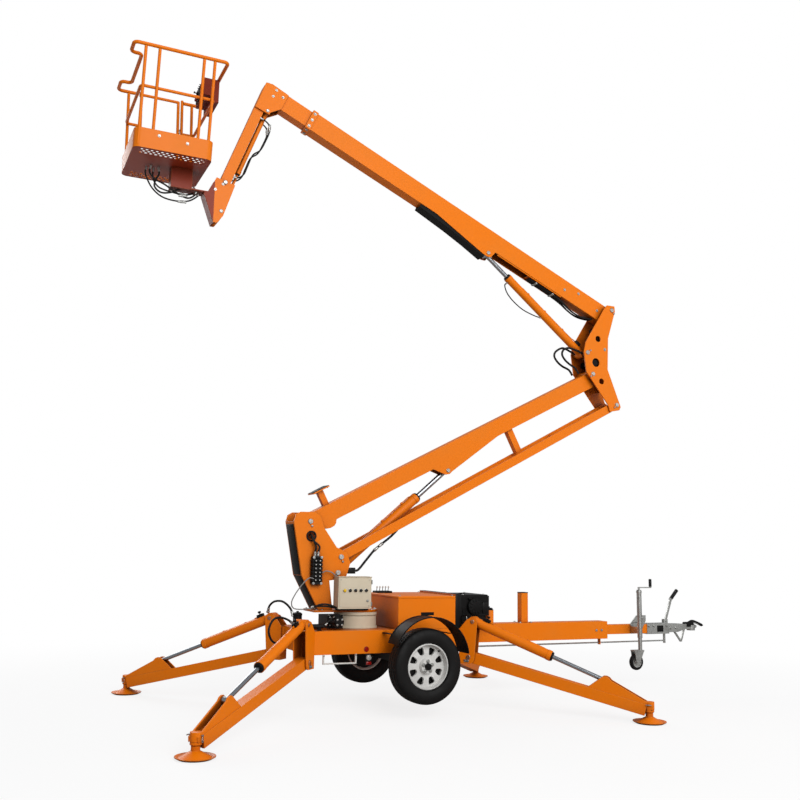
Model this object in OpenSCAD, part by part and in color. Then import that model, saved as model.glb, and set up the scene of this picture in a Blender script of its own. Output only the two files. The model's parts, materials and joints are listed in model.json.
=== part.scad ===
// Trailer-mounted articulated boom lift, standing on its four outriggers with the booms raised.
// Frame: +X forward to the tow coupling, +Y to the machine's left, +Z up. The origin is on the
// ground under the slewing axis, and y = 0 is the plane that the booms work in.

/* [Chassis] */
// Height of the chassis top above the ground
chassis_top = 767; // [720:1:860]
// Depth of the chassis side beams
beam_depth = 210; // [170:1:260]
// Width of the chassis side beams
beam_width = 110; // [80:1:140]
// Half of the chassis width
chassis_half = 404; // [380:1:460]
// Rear end of the chassis
chassis_rear = -620; // [-700:1:-560]
// Front end of the chassis
chassis_front = 1022; // [960:1:1200]
// Depth of the outer drawbar
drawbar_depth = 185; // [150:1:200]
// Width of the outer drawbar
drawbar_width = 160; // [120:1:200]
// Front end of the outer drawbar
drawbar_front = 2968; // [2600:1:3200]
// Front end of the inner drawbar tube
drawbar_tip = 3620; // [3500:1:3900]

/* [Wheels] */
// Tyre radius
tyre_r = 340; // [300:1:380]
// Tyre width
tyre_w = 200; // [160:1:240]
// Distance between the tyre centre planes
wheel_track = 1472; // [1440:1:1700]
// Axle position along the chassis
axle_x = 400; // [300:1:500]
// Axle height with the outriggers down
axle_z = 470; // [430:1:500]
// Rim outer radius
rim_r = 205; // [180:1:230]

/* [Outriggers] */
// Horizontal reach from the leg hinge to the foot
leg_reach = 1690; // [1500:5:2000]
// Angle between the leg and the length of the machine, seen from above
leg_azimuth = 44.3; // [35:0.1:55]
// Side of the square leg tube
leg_tube = 100; // [80:1:110]
// Height of the leg hinge
leg_hinge_z = 500; // [460:1:540]
// Height of the cylinder's upper pin
leg_cylinder_z = 835; // [800:1:880]
// Diameter of the foot plate
foot_d = 300; // [260:1:420]

/* [Lower boom] */
// Length of the lower boom between its pins
lower_length = 3767; // [3200:5:4500]
// Angle of the lower boom above the horizontal
lower_angle = 27.8; // [20:0.1:40]
// Depth of the lower boom box
lower_depth = 168; // [150:1:200]
// Width of both outer boom boxes
boom_width = 140; // [120:1:150]
// Height of the lower boom's base pin
base_pin_z = 1770; // [1700:1:1900]
// Setback of the lower boom's base pin behind the slewing axis
base_pin_back = 537; // [480:1:600]

/* [Upper boom] */
// Angle of the upper boom above the horizontal
upper_angle = 23.8; // [15:0.1:40]
// Length of the outer section from its hinge pin
upper_length = 4060; // [3500:5:4800]
// Depth of the outer section
upper_depth = 205; // [180:1:230]
// How far the inner section shows beyond the outer one
inner_shows = 290; // [200:5:500]
// Length of the inner section hidden inside the outer one
inner_hidden = 2280; // [1900:5:2290]
// Length of the gooseneck from the boom head to the basket hinge
neck_length = 1110; // [1000:5:1300]

/* [Basket] */
// Floor size along the machine
floor_x = 725; // [600:5:900]
// Floor size across the machine
floor_y = 760; // [700:5:1200]
// Height of the top rail above the floor
rail_height = 910; // [900:5:1150]
// Overhang of the top rail's centre beyond the floor at the sides
rail_over = 125; // [60:1:150]
// Overhang of the top rail's centre beyond the floor at the gooseneck
rail_over_front = 75; // [30:1:80]
// Overhang of the top rail's centre beyond the floor at the gate
rail_over_rear = 65; // [60:1:130]
// Outer diameter of the rail tube
rail_d = 34; // [28:1:42]

/* [Hidden] */
$fn = 48;
fit = 0.3;

orange = "#f0761b";
orange_dark = "#c9560f";
steel = "#b9bcc0";
black = "#1d1d1f";
white = "#e8e6e2";
beige = "#b8ab95";

// Pins and side plates shared by the boom joints
boom_half = boom_width / 2;
plate_in = boom_half + 48;        // inner face of the turret and knuckle side plates
plate_t = 14;
pin_r = 22;

// Outrigger corners: name, end of the machine (-1 rear, 1 front), side (-1 right, 1 left)
bracket_y = chassis_half + 16;
bracket_rear = chassis_rear - 50;
bracket_front = chassis_front + 28;
leg_foot_z = 110;
leg_drop = atan2(leg_hinge_z - leg_foot_z, leg_reach);
leg_cylinder_s = 40;
rod_pin_s = leg_reach * 0.769;
rod_pin_lift = 150;
rod_pin_z = leg_hinge_z - rod_pin_s * tan(leg_drop) + rod_pin_lift;
leg_cylinder_len = norm([rod_pin_s - leg_cylinder_s, leg_cylinder_z - rod_pin_z]);
leg_cylinder_drop = atan2(leg_cylinder_z - rod_pin_z, rod_pin_s - leg_cylinder_s);
leg_barrel_len = leg_cylinder_len * 0.602;
leg_barrel_r = 47;
leg_rod_r = 20;

// Lower boom, in its own coordinates: x along the pin line from the base pin, z up
pin_a = [-base_pin_back, base_pin_z];
pin_b = pin_a + lower_length * [cos(lower_angle), sin(lower_angle)];
link_offset = [324, -332];        // from each boom pin to the link pin below it
pin_d = pin_a + link_offset;
pin_c = pin_b + link_offset;
lower_top_base = 63;              // top face above the pin line, at the base pin
lower_top_tip = 25;               // and at the end pin
lower_gusset = [1606, -203];      // lift cylinder's upper pin
lower_cyl_base = pin_a + [295, -482];
lower_cyl_top = pin_a + turn(lower_gusset, lower_angle);
lower_cyl_vec = lower_cyl_top - lower_cyl_base;
lower_cyl_len = norm(lower_cyl_vec);
lower_cyl_angle = atan2(lower_cyl_vec[1], lower_cyl_vec[0]);
lower_barrel_r = 50;
lower_rod_r = 26;
lower_barrel_len = lower_cyl_len * 0.725;
lug_t = 12;                       // gusset plates on both sides of the cylinder rods' eyes
lug_half = boom_half - lug_t;
link_in = boom_half + 15;         // inner face of the link's side bars
link_t = 25;
link_depth = 90;
strut_x = 2510;                   // travel strut under the lower boom
strut_len = 244;
cradle_x = 250;                   // cradle on the lower boom that the upper one rests in
cradle_height = 161;

// Upper boom, in its own coordinates: x along the boom from the hinge pin, z up
pin_k = pin_b + [280, 778];
upper_top = 30;                   // top face above the hinge pin
upper_bottom = upper_top - upper_depth;
upper_gusset = [1668, -228];
upper_cyl_base = pin_b + [-70, 243];
upper_cyl_top = pin_k + flip(turn(upper_gusset, upper_angle));
upper_cyl_vec = upper_cyl_top - upper_cyl_base;
upper_cyl_len = norm(upper_cyl_vec);
upper_cyl_angle = atan2(upper_cyl_vec[1], upper_cyl_vec[0]);
upper_barrel_r = 44;
upper_rod_r = 23;
upper_barrel_len = upper_cyl_len * 0.775;

// Inner boom, gooseneck and levelling cylinder, in the upper boom's coordinates
boom_wall = 6;
inner_gap = 6;
inner_top = upper_top - boom_wall - inner_gap;
inner_depth = upper_depth - 2 * (boom_wall + inner_gap);
inner_half = boom_half - boom_wall - inner_gap;
head_x = upper_length + inner_shows;
neck_lean = 3.6;                  // lean of the gooseneck from square to the boom
neck_depth = 100;
neck_top = [head_x + 207, 0];     // gooseneck line at the boom's pin line
neck_hinge = neck_top + (neck_length + 82) * [-sin(neck_lean), -cos(neck_lean)];
neck_plate_out = 52;              // outer face of the gooseneck's side plates
neck_plate_t = 12;
level_top = [head_x + 110, -266];
level_bottom = neck_hinge + [-95, -281];
level_vec = level_bottom - level_top;
level_len = norm(level_vec);
level_angle = atan2(level_vec[1], level_vec[0]);
level_barrel_r = 24;
level_rod_r = 14;
level_barrel_len = level_len * 0.62;

// Basket, placed from its hinge on the gooseneck
basket_hinge = pin_k + flip(turn(neck_hinge, upper_angle));
level_pin = pin_k + flip(turn(level_bottom, upper_angle));
bracket_in = neck_plate_out + 6;
bracket_t = 12;
floor_z = basket_hinge[1] + 95;
floor_front = basket_hinge[0] - 204;
floor_rear = floor_front - floor_x;
floor_t = 28;
toe_t = 6;

// Drawbar tube, travel post and towing gear
tube_half = 50;
tube_z = chassis_top + 10 - drawbar_depth / 2;
travel_x = 1925;
travel_half = 40;
brake_rod_z = 545;
brake_rod_end = drawbar_tip + 195;
ball_x = drawbar_tip + 600;
lever_pivot = [drawbar_tip + 225, tube_z + 74];

// Jockey wheel, outboard of the drawbar on its right side
jockey_x = drawbar_tip - 288;
jockey_y = -180;
jockey_wheel_z = 345;
jockey_wheel_r = 88;
jockey_trail = 60;

// Wheels, mudguards and slewing drum
hub_r = 26;
guard_r = tyre_r + 38;
guard_centre = [axle_x + 25, axle_z + 62];
guard_over = 12;                  // how far the guards reach past the tyres' sides
stay_x = 1.2 * guard_r - 163.6;   // where the rolled guards come down to their stays
drum_r = 205;
drum_top = 920;

// Outrigger brackets
leg_cheek_in = leg_tube / 2 + 6;
leg_cheek_t = 12;
panel_half = leg_cheek_in + 342;   // power pack's black panel, between the front brackets

// Turret column: outer face of its side plates and the line of its back
plate_out = plate_in + plate_t;
turret_floor = drum_top + fit;
turret_back = [[-430, turret_floor + 18], [-608, 1264], [pin_a[0] - 167, pin_a[1]]];

// Length of the gooseneck between its two ends
neck_run = norm(neck_top - neck_hinge);

// Basket rails, posts and gate
rail_r = rail_d / 2;
post_r = rail_r * 0.85;
basket_x = [floor_rear, floor_front];
basket_y = floor_y / 2;
rail_y = basket_y + rail_over;
rail_x = [basket_x[0] - rail_over_rear, basket_x[1] + rail_over_front];
rail_top = floor_z + rail_height;
rail_mid = floor_z + rail_height * 0.593;
mid_y = basket_y + rail_over * 0.42;
mid_x = [basket_x[0] + 25, basket_x[1] - 30];
post_x = [basket_x[0] + 40, basket_x[0] + 165, basket_x[1] - 150, basket_x[1] - 50];
ear_width = 200;                  // size of the rail's hand loops beside the rear bar
ear_x = basket_x[0] + 35;
gate_free = post_x[2] - 2 * post_r - 10;
post_vec = [0, rail_y - basket_y + 12, rail_top - floor_z];
gate_z = [floor_z + 230, rail_mid - 45, rail_top];

// A point turned about the origin, and one with its x reversed
function turn(p, a) = [p[0] * cos(a) - p[1] * sin(a), p[0] * sin(a) + p[1] * cos(a)];
function flip(p) = [-p[0], p[1]];

// Shared shapes -----------------------------------------------------------------------

// Plate in the boom plane: outline in x and z, thickness t outwards from y = y0
module plate(outline, y0, t) {
  translate([0, y0 + t, 0]) rotate([90, 0, 0]) linear_extrude(t) polygon(outline);
}

// The same thing on both sides of the boom plane
module both_sides() {
  children();
  mirror([0, 1, 0]) children();
}

// Round pin or boss across the boom plane, through point p
module across(p, r, half) {
  translate([p[0], 0, p[1]]) rotate([90, 0, 0]) cylinder(r = r, h = 2 * half, center = true);
}

// Round boss on both sides, from y = y0 to y = y1
module boss_pair(p, r, y0, y1) {
  both_sides() translate([p[0], y1, p[1]]) rotate([90, 0, 0]) cylinder(r = r, h = y1 - y0);
}

// Box from corner to corner
module block(x, y, z) {
  translate([x[0], y[0], z[0]]) cube([x[1] - x[0], y[1] - y[0], z[1] - z[0]]);
}

module at_point(p, a) {
  translate([p[0], 0, p[1]]) rotate([0, -a, 0]) children();
}

module at_lower() { at_point(pin_a, lower_angle) children(); }

module at_upper() {
  translate([pin_k[0], 0, pin_k[1]]) mirror([1, 0, 0]) rotate([0, -upper_angle, 0]) children();
}

// Hydraulic barrel along x from its base pin, with a bore for the rod
module barrel(len, r, rod_r, eye_half, base_pin_r) {
  difference() {
    union() {
      rotate([0, 90, 0]) cylinder(r = r, h = len - 22);
      translate([len - 40, 0, 0]) rotate([0, 90, 0]) cylinder(r = r + 3, h = 40);
      across([0, 0], r, eye_half);
    }
    translate([r + 14, 0, 0]) rotate([0, 90, 0]) cylinder(r = rod_r + fit, h = len);
    across([0, 0], base_pin_r + fit, eye_half + 1);
  }
}

// Rod with its eye and stub pin at the far end; x = 0 is the barrel's base pin
module rod(total, len, r, eye_r, eye_half, pin_half, stub_r) {
  translate([total - len, 0, 0]) rotate([0, 90, 0]) cylinder(r = r, h = len - eye_r * 0.6);
  across([total, 0], eye_r, eye_half);
  across([total, 0], stub_r, pin_half);
}

// Outrigger frame: x outwards along the leg, y across it, z up
module at_leg(end, side) {
  translate([end > 0 ? bracket_front : bracket_rear, side * bracket_y, 0])
    rotate([0, 0, end > 0 ? side * leg_azimuth : 180 - side * leg_azimuth]) children();
}

// Chassis ---------------------------------------------------------------------------------

module leg_bracket() {
  difference() {
    union() {
      both_sides() plate([[-92, 440], [24, 440], [46, 452], [60, 476], [86, 800], [88, 838],
                          [78, 858], [58, 868], [22, 868], [-14, 856], [-92, chassis_top - 5]],
                         leg_cheek_in, leg_cheek_t);
      block([-92, -80], [-leg_cheek_in - 1, leg_cheek_in + 1], [440, chassis_top - 5]);
    }
    across([0, leg_hinge_z], 20 - fit, 200);
  }
  across([0, leg_hinge_z], 20, leg_cheek_in + leg_cheek_t + 8);
  across([leg_cylinder_s, leg_cylinder_z], 16, leg_cheek_in + leg_cheek_t + 8);
}

module chassis_frame() {
  beam_z = [chassis_top - beam_depth, chassis_top];
  color(orange) {
    both_sides() block([chassis_rear, chassis_front], [chassis_half - beam_width, chassis_half], beam_z);
    block([chassis_rear, chassis_rear + beam_width], [-chassis_half, chassis_half], beam_z);
    block([-250, 250], [-chassis_half, chassis_half], beam_z);
    block([chassis_front - beam_width, chassis_front], [-chassis_half, chassis_half], beam_z);
    for (end = [-1, 1], side = [-1, 1]) at_leg(end, side) {
      leg_bracket();
      block([-190, -85], [3 - leg_cheek_in, leg_cheek_in - 3], [beam_z[0] + 10, chassis_top - 10]);
    }
    both_sides() block([axle_x - 70, axle_x + 70], [chassis_half - beam_width, chassis_half],
                       [axle_z + 35, beam_z[0]]);
  }
}

module drawbar() {
  color(orange) difference() {
    block([chassis_front, drawbar_front], [-drawbar_width / 2, drawbar_width / 2],
          [chassis_top + 10 - drawbar_depth, chassis_top + 10]);
    block([drawbar_front - 600, drawbar_front + 1], [-tube_half - fit, tube_half + fit],
          [tube_z - tube_half - fit, tube_z + tube_half + fit]);
  }
  color(orange) difference() {
    block([drawbar_front - 60, drawbar_front - 50], [-20, 20],
          [brake_rod_z - 20, chassis_top + 11 - drawbar_depth]);
    translate([drawbar_front - 61, 0, brake_rod_z]) rotate([0, 90, 0]) cylinder(r = 8 + fit, h = 12);
  }
}

module drawbar_tube() {
  color(orange) block([drawbar_front - 590, drawbar_tip - 80], [-tube_half, tube_half],
                      [tube_z - tube_half, tube_z + tube_half]);
}

// Overrun housing with a slot in each side, the shaft's casting, the ball head under its handle,
// a bent bar below to lift it by, and the brake's arm and lugs
module coupling() {
  housing = [drawbar_tip - 79.7, drawbar_tip + 235];
  cast = [drawbar_tip + 245, drawbar_tip + 372];
  head_z = tube_z + 22;
  color(steel) {
    difference() {
      block(housing, [-55, 55], [tube_z - 60, tube_z + 56]);
      both_sides() block([housing[0] + 140, housing[0] + 230], [49, 56], [tube_z - 38, tube_z + 32]);
    }
    block([brake_rod_end + fit, brake_rod_end + 20], [-10, 10], [brake_rod_z - 28, tube_z - 59]);
    both_sides() block([lever_pivot[0] - 32, lever_pivot[0] + 22], [8 + fit, 20],
                       [tube_z + 55, lever_pivot[1] + 24]);
    block([housing[1] - 1, cast[0] + 1], [-34, 34], [tube_z - 36, tube_z + 40]);
    plate([[cast[0], tube_z - 46], [cast[0], tube_z + 50], [cast[1], tube_z + 46],
           [cast[1] + 90, tube_z + 42], [cast[1] + 90, tube_z - 22], [cast[1], tube_z - 46]], -42, 84);
    plate([[cast[1] + 89, tube_z - 16], [cast[1] + 89, tube_z + 40], [ball_x + 20, head_z + 16],
           [ball_x + 58, head_z], [ball_x + 58, head_z - 22], [ball_x, tube_z - 20]], -34, 68);
    translate([ball_x, 0, tube_z - 34]) cylinder(r = 47, h = 61);
    plate([[ball_x - 40, head_z + 10], [ball_x + 18, head_z + 52], [drawbar_tip + 780, head_z + 2],
           [drawbar_tip + 776, head_z - 10], [ball_x + 20, head_z + 30], [ball_x - 10, head_z]],
          -13, 26);
    translate([drawbar_tip, 0, tube_z])
      plate([[332, -30], [437, -160], [457, -158], [512, -10], [492, -10], [444, -138], [358, -30]], -8, 16);
  }
}

// Hand lever on its pivot, with the grip cranked forwards
module handbrake_lever() {
  knee = lever_pivot + 264 * [cos(70), sin(70)];
  color(steel) {
    at_point(lever_pivot, 70) block([-14, 264], [-8, 8], [-14, 14]);
    at_point(knee, 47) block([-16, 140], [-13, 13], [-15, 15]);
  }
}

module travel_post() {
  color(orange) block([travel_x - travel_half, travel_x + travel_half], [-travel_half, travel_half],
                      [chassis_top + 10, 1090]);
}

module axle() {
  color(black) {
    block([axle_x - 35, axle_x + 35], [-wheel_track / 2 + 130, wheel_track / 2 - 130],
          [axle_z - 35, axle_z + 35]);
    block([axle_x + 15, axle_x + 36 - fit], [-12, 12], [axle_z + 34, brake_rod_z + 15]);
    across([axle_x, axle_z], hub_r, wheel_track / 2 + 40);
  }
}

// Rolled guards over the tyres, on two flat stays from the chassis beam
module mudguards() {
  y = [for (s = [-1, 1]) wheel_track / 2 + s * (tyre_w / 2 + guard_over)];
  color(black) both_sides() {
    difference() {
      across_ring(guard_centre, guard_r, guard_r - 5, y[0], y[1]);
      plate([[axle_x - 600, axle_z - 600], [axle_x - 600, axle_z + 238],
             [axle_x + 600, axle_z + 80], [axle_x + 600, axle_z - 600]], y[0] - 1, y[1] - y[0] + 2);
    }
    for (x = [-1, 1]) block([guard_centre[0] + x * stay_x - 20, guard_centre[0] + x * stay_x + 20],
                            [chassis_half, y[0] + 1], [741, 747]);
  }
}

// Ring across the boom plane on one side, from y0 to y1
module across_ring(p, r_out, r_in, y0, y1) {
  translate([p[0], y1, p[1]]) rotate([90, 0, 0]) difference() {
    cylinder(r = r_out, h = y1 - y0);
    translate([0, 0, -1]) cylinder(r = r_in, h = y1 - y0 + 2);
  }
}

module power_pack() {
  color(orange) difference() {
    block([280, 895], [-400, 400], [chassis_top, 1075]);
    block([520, 660], [-401, -375], [895, 925]);
  }
  color(black) block([895, 958], [-panel_half, panel_half], [chassis_top, 1095]);
}

module engine() {
  color(black) {
    block([1010, 1335], [-300, 160], [877, 1072]);
    block([1030, 1300], [-280, 140], [chassis_top + 10 + fit, 878]);
    translate([1390, -200, 790]) cylinder(r = 48, h = 140);
    block([1330, 1395], [-215, -185], [840, 900]);
  }
}

module slew_base() {
  color(beige) {
    translate([0, 0, chassis_top]) cylinder(r = drum_r + 10, h = 14);
    translate([0, 0, chassis_top]) cylinder(r = drum_r, h = 114);
    translate([0, 0, chassis_top + 113]) cylinder(r = drum_r - 12, h = 12);
    translate([0, 0, chassis_top + 124]) cylinder(r = drum_r + 5, h = drum_top - chassis_top - 124);
  }
}

module lamp_frame() {
  color(white) {
    block([-470, -140], [-chassis_half, 20 - chassis_half], [470, 482]);
    for (x = [-470, -152])
      block([x, x + 12], [-chassis_half, 20 - chassis_half], [470, chassis_top - beam_depth]);
  }
}

module brake_rod() {
  color(steel) translate([axle_x + 36, 0, brake_rod_z]) rotate([0, 90, 0])
    cylinder(r = 8, h = brake_rod_end - axle_x - 36);
}

module jockey_clamp() {
  color(steel) {
    difference() {
      union() {
        translate([jockey_x, jockey_y, 600]) cylinder(r = 27, h = 520);
        block([jockey_x - 30, jockey_x + 30], [jockey_y, -tube_half], [tube_z - 35, tube_z + 35]);
        plate([[jockey_x - 30, tube_z - 35], [jockey_x - 30, tube_z + 60], [jockey_x + 60, tube_z + 150],
               [jockey_x + 184, tube_z + 150], [jockey_x + 184, tube_z + 90],
               [jockey_x + 110, tube_z - 35]], -tube_half - 12, 12);
      }
      translate([jockey_x, jockey_y, 590]) cylinder(r = 22, h = 480);
    }
    translate([jockey_x, jockey_y, 1119]) cylinder(r = 12, h = 24);
    block([jockey_x - 10, jockey_x + 170], [jockey_y - 8, jockey_y + 8], [1140, 1152]);
    translate([jockey_x + 160, jockey_y, 1150]) cylinder(r = 14, h = 90);
  }
}

module jockey_leg() {
  color(steel) translate([jockey_x, jockey_y, 472 + fit]) cylinder(r = 22 - fit, h = 498);
}

module jockey_fork() {
  color(steel) {
    translate([jockey_x, jockey_y, 466]) cylinder(r = 30, h = 6);
    block([jockey_x - jockey_trail - 45, jockey_x + 25], [jockey_y - 38, jockey_y + 38], [458, 472]);
    for (side = [-1, 1]) translate([0, jockey_y + side * 34, 0])
      plate([[jockey_x - jockey_trail - 22, jockey_wheel_z - 18],
             [jockey_x - jockey_trail + 22, jockey_wheel_z - 18],
             [jockey_x + 22, 465], [jockey_x - jockey_trail - 42, 465]], -4, 8);
    translate([jockey_x - jockey_trail, jockey_y + 42, jockey_wheel_z]) rotate([90, 0, 0])
      cylinder(r = 10, h = 84);
  }
}

module jockey_wheel() {
  color(black) translate([jockey_x - jockey_trail, jockey_y, jockey_wheel_z]) rotate([90, 0, 0])
    difference() {
      cylinder(r = jockey_wheel_r, h = 50, center = true);
      cylinder(r = 10 + fit, h = 60, center = true);
    }
}

// Wheels ----------------------------------------------------------------------------------

module at_wheel(side) {
  translate([axle_x, side * wheel_track / 2, axle_z]) rotate([-90 * side, 0, 0]) children();
}

module tyre(side) {
  h = tyre_w / 2;
  color(black) at_wheel(side) rotate_extrude($fn = 96)
    polygon([[rim_r, -h * 0.74], [rim_r + 30, -h * 0.95], [rim_r + 75, -h], [tyre_r - 22, -h * 0.9],
             [tyre_r - 6, -h * 0.74], [tyre_r, -h * 0.4], [tyre_r, h * 0.4], [tyre_r - 6, h * 0.74],
             [tyre_r - 22, h * 0.9], [rim_r + 75, h], [rim_r + 30, h * 0.95], [rim_r, h * 0.74]]);
}

module rim(side) {
  h = tyre_w / 2 * 0.74;
  r = rim_r - fit;
  color(white) at_wheel(side) difference() {
    union() {
      rotate_extrude($fn = 96)
        polygon([[r - 10, -h], [r, -h], [r, h], [r - 12, h + 4], [r - 12, h - 10], [r - 22, -h + 20]]);
      rotate_extrude($fn = 96)
        polygon([[hub_r + fit, -8], [r - 14, 8], [r - 14, 20], [120, 34], [70, 26], [62, 62],
                 [hub_r + fit, 66]]);
    }
    for (i = [0 : 7]) rotate([0, 0, i * 45 + 22.5]) translate([0, 0, -20]) linear_extrude(80)
      polygon([[104, -13], [104, 13], [122, 24], [156, 32], [170, 24], [170, -24], [156, -32], [122, -24]]);
  }
}

module tyre_left() { tyre(1); }
module tyre_right() { tyre(-1); }
module rim_left() { rim(1); }
module rim_right() { rim(-1); }

// Outriggers ------------------------------------------------------------------------------

module outrigger_leg(end, side) {
  half = leg_tube / 2;
  end_s = leg_reach / cos(leg_drop);
  lug_top = rod_pin_lift * cos(leg_drop) + 42;
  color(orange) at_leg(end, side) difference() {
    union() {
      at_point([0, leg_hinge_z], -leg_drop) {
        block([0, end_s - 30], [-half, half], [-half, half]);
        across([0, 0], half, half);
        both_sides() plate([[end_s - 575, half - 1], [end_s - 478, lug_top - 26],
                            [end_s - 458, lug_top - 6], [end_s - 432, lug_top],
                            [end_s - 404, lug_top - 5], [end_s - 378, lug_top - 24],
                            [end_s - 30, half + 22], [end_s + 26, half + 4], [end_s + 30, 16],
                            [end_s - 90, 16], [end_s - 120, half - 1]], 30, 14);
      }
      translate([leg_reach, 0, leg_foot_z + 12]) cylinder(r = 46, h = 66);
    }
    across([0, leg_hinge_z], 20 + fit, 200);
    translate([leg_reach, 0, leg_foot_z]) cylinder(r = 20 + fit, h = 60);
    translate([leg_reach, 0, 0]) cylinder(r = 50, h = leg_foot_z + 12);
  }
}

module outrigger_foot(end, side) {
  color(orange) at_leg(end, side) translate([leg_reach, 0, 0]) rotate_extrude($fn = 72)
    polygon([[0, 0], [foot_d / 2 - 26, 0], [foot_d / 2, 14], [foot_d / 2, 20], [foot_d / 2 - 30, 12],
             [60, 44], [34, 58], [34, 92], [44, 100], [44, leg_foot_z + 12], [20, leg_foot_z + 12],
             [20, leg_foot_z + 55], [0, leg_foot_z + 55]]);
}

module at_leg_cylinder(end, side) {
  at_leg(end, side) at_point([leg_cylinder_s, leg_cylinder_z], -leg_cylinder_drop) children();
}

module outrigger_barrel(end, side) {
  color(orange) at_leg_cylinder(end, side) barrel(leg_barrel_len, leg_barrel_r, leg_rod_r,
                                                  leg_cheek_in - 1, 16);
}

module outrigger_rod(end, side) {
  color(steel) at_leg_cylinder(end, side) rod(leg_cylinder_len, leg_cylinder_len * 0.5, leg_rod_r,
                                              30, 24, 29.7, 14);
}

module outrigger_leg_rear_left() { outrigger_leg(-1, 1); }
module outrigger_leg_rear_right() { outrigger_leg(-1, -1); }
module outrigger_leg_front_left() { outrigger_leg(1, 1); }
module outrigger_leg_front_right() { outrigger_leg(1, -1); }
module outrigger_foot_rear_left() { outrigger_foot(-1, 1); }
module outrigger_foot_rear_right() { outrigger_foot(-1, -1); }
module outrigger_foot_front_left() { outrigger_foot(1, 1); }
module outrigger_foot_front_right() { outrigger_foot(1, -1); }
module outrigger_barrel_rear_left() { outrigger_barrel(-1, 1); }
module outrigger_barrel_rear_right() { outrigger_barrel(-1, -1); }
module outrigger_barrel_front_left() { outrigger_barrel(1, 1); }
module outrigger_barrel_front_right() { outrigger_barrel(1, -1); }
module outrigger_rod_rear_left() { outrigger_rod(-1, 1); }
module outrigger_rod_rear_right() { outrigger_rod(-1, -1); }
module outrigger_rod_front_left() { outrigger_rod(1, 1); }
module outrigger_rod_front_right() { outrigger_rod(1, -1); }

// Turret ----------------------------------------------------------------------------------

module turret_column() {
  side = concat(turret_back,
    [[pin_a[0] - 150, pin_a[1] + 62], [pin_a[0] - 105, pin_a[1] + 90],
     [pin_a[0] + 40, pin_a[1] + 92], [pin_a[0] + 98, pin_a[1] + 55],
     [pin_a[0] + 137, pin_a[1] - 50], [-262, 1530], [pin_d[0] + 60, pin_d[1] + 42],
     [pin_d[0] + 95, pin_d[1] - 60], [lower_cyl_base[0] + 80, lower_cyl_base[1] - 50],
     [-330, 1215], [-290, turret_floor + 18]]);
  color(orange) difference() {
    union() {
      both_sides() plate(side, plate_in, plate_t);
      translate([0, 0, turret_floor]) cylinder(r = drum_r + 10, h = 20);
      block([-480, 0], [-plate_in - 40, plate_in + 40], [turret_floor, turret_floor + 20]);
      plate(concat(turret_back, [turret_back[2] + [14, 0], turret_back[1] + [14, 0],
                                 turret_back[0] + [14, 0]]), -plate_in - 1, 2 * plate_in + 2);
      plate([[-304, turret_floor + 18], [-344, 1200], [-330, 1200], [-290, turret_floor + 18]],
            -plate_in - 1, 2 * plate_in + 2);
        plate([[-300, 1565], [-258, 1508], [-246, 1508], [-288, 1565]], -plate_in - 1,
            2 * plate_in + 2);
      across(pin_a, pin_r, plate_in + plate_t + 10);
      across(lower_cyl_base, pin_r, plate_in + plate_t + 10);
      boss_pair(pin_d, pin_r, link_in - 5, plate_in + plate_t + 10);
    }
    both_sides() across_hole([pin_a[0] + 12, pin_a[1] - 138], 45, plate_in - 5, plate_in + plate_t + 5);
  }
}

// Round hole through one side plate
module across_hole(p, r, y0, y1) {
  translate([p[0], y1, p[1]]) rotate([90, 0, 0]) cylinder(r = r, h = y1 - y0);
}

// Cabinet for the ground controls on a black plinth, with a row of five push knobs
module control_box() {
  front = -262;
  color(beige) block([-283, 55], [front, -plate_out - fit], [956, 1253]);
  color(black) block([-262, 30], [front + 16, -plate_out - fit], [turret_floor + 20 + fit, 957]);
  color(black) for (i = [0 : 4]) translate([-222 + i * 55, front, 1128]) rotate([90, 0, 0])
    cylinder(r = 12, h = 14);
}

// Worm housing against the drum, and the hydraulic motor that turns it
module slew_motor() {
  color(black) {
    difference() {
      block([-335, -150], [-125, 125], [chassis_top, 888]);
      translate([0, 0, chassis_top - 1]) cylinder(r = drum_r + 11, h = 200);
    }
    translate([-275, -124, 836]) rotate([90, 0, 0]) cylinder(r = 58, h = 16);
    translate([-275, -139, 836]) rotate([90, 0, 0]) cylinder(r = 46, h = 150);
    block([-300, -250], [-230, -180], [875, 906]);
  }
}

// Six valve sections clamped between two end covers on the column's right plate
module valve_block() {
  x = [-522, -420];
  color(black) {
    block([x[0] + 6, x[1] - 6], [-plate_out - 42, -plate_out - fit], [1185, 1438]);
    for (z = [1180, 1422]) block(x, [-plate_out - 56, -plate_out - fit], [z, z + 20]);
    for (i = [0 : 5]) {
      z = 1206 + i * 36;
      block([x[0], x[1]], [-plate_out - 52, -plate_out - fit], [z, z + 30]);
      translate([x[0] + 30, -plate_out - 51, z + 15]) rotate([90, 0, 0]) cylinder(r = 12, h = 14);
      translate([x[1] - 28, -plate_out - 51, z + 15]) rotate([90, 0, 0]) cylinder(r = 9, h = 8);
    }
  }
}

// Lower boom ------------------------------------------------------------------------------

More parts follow.
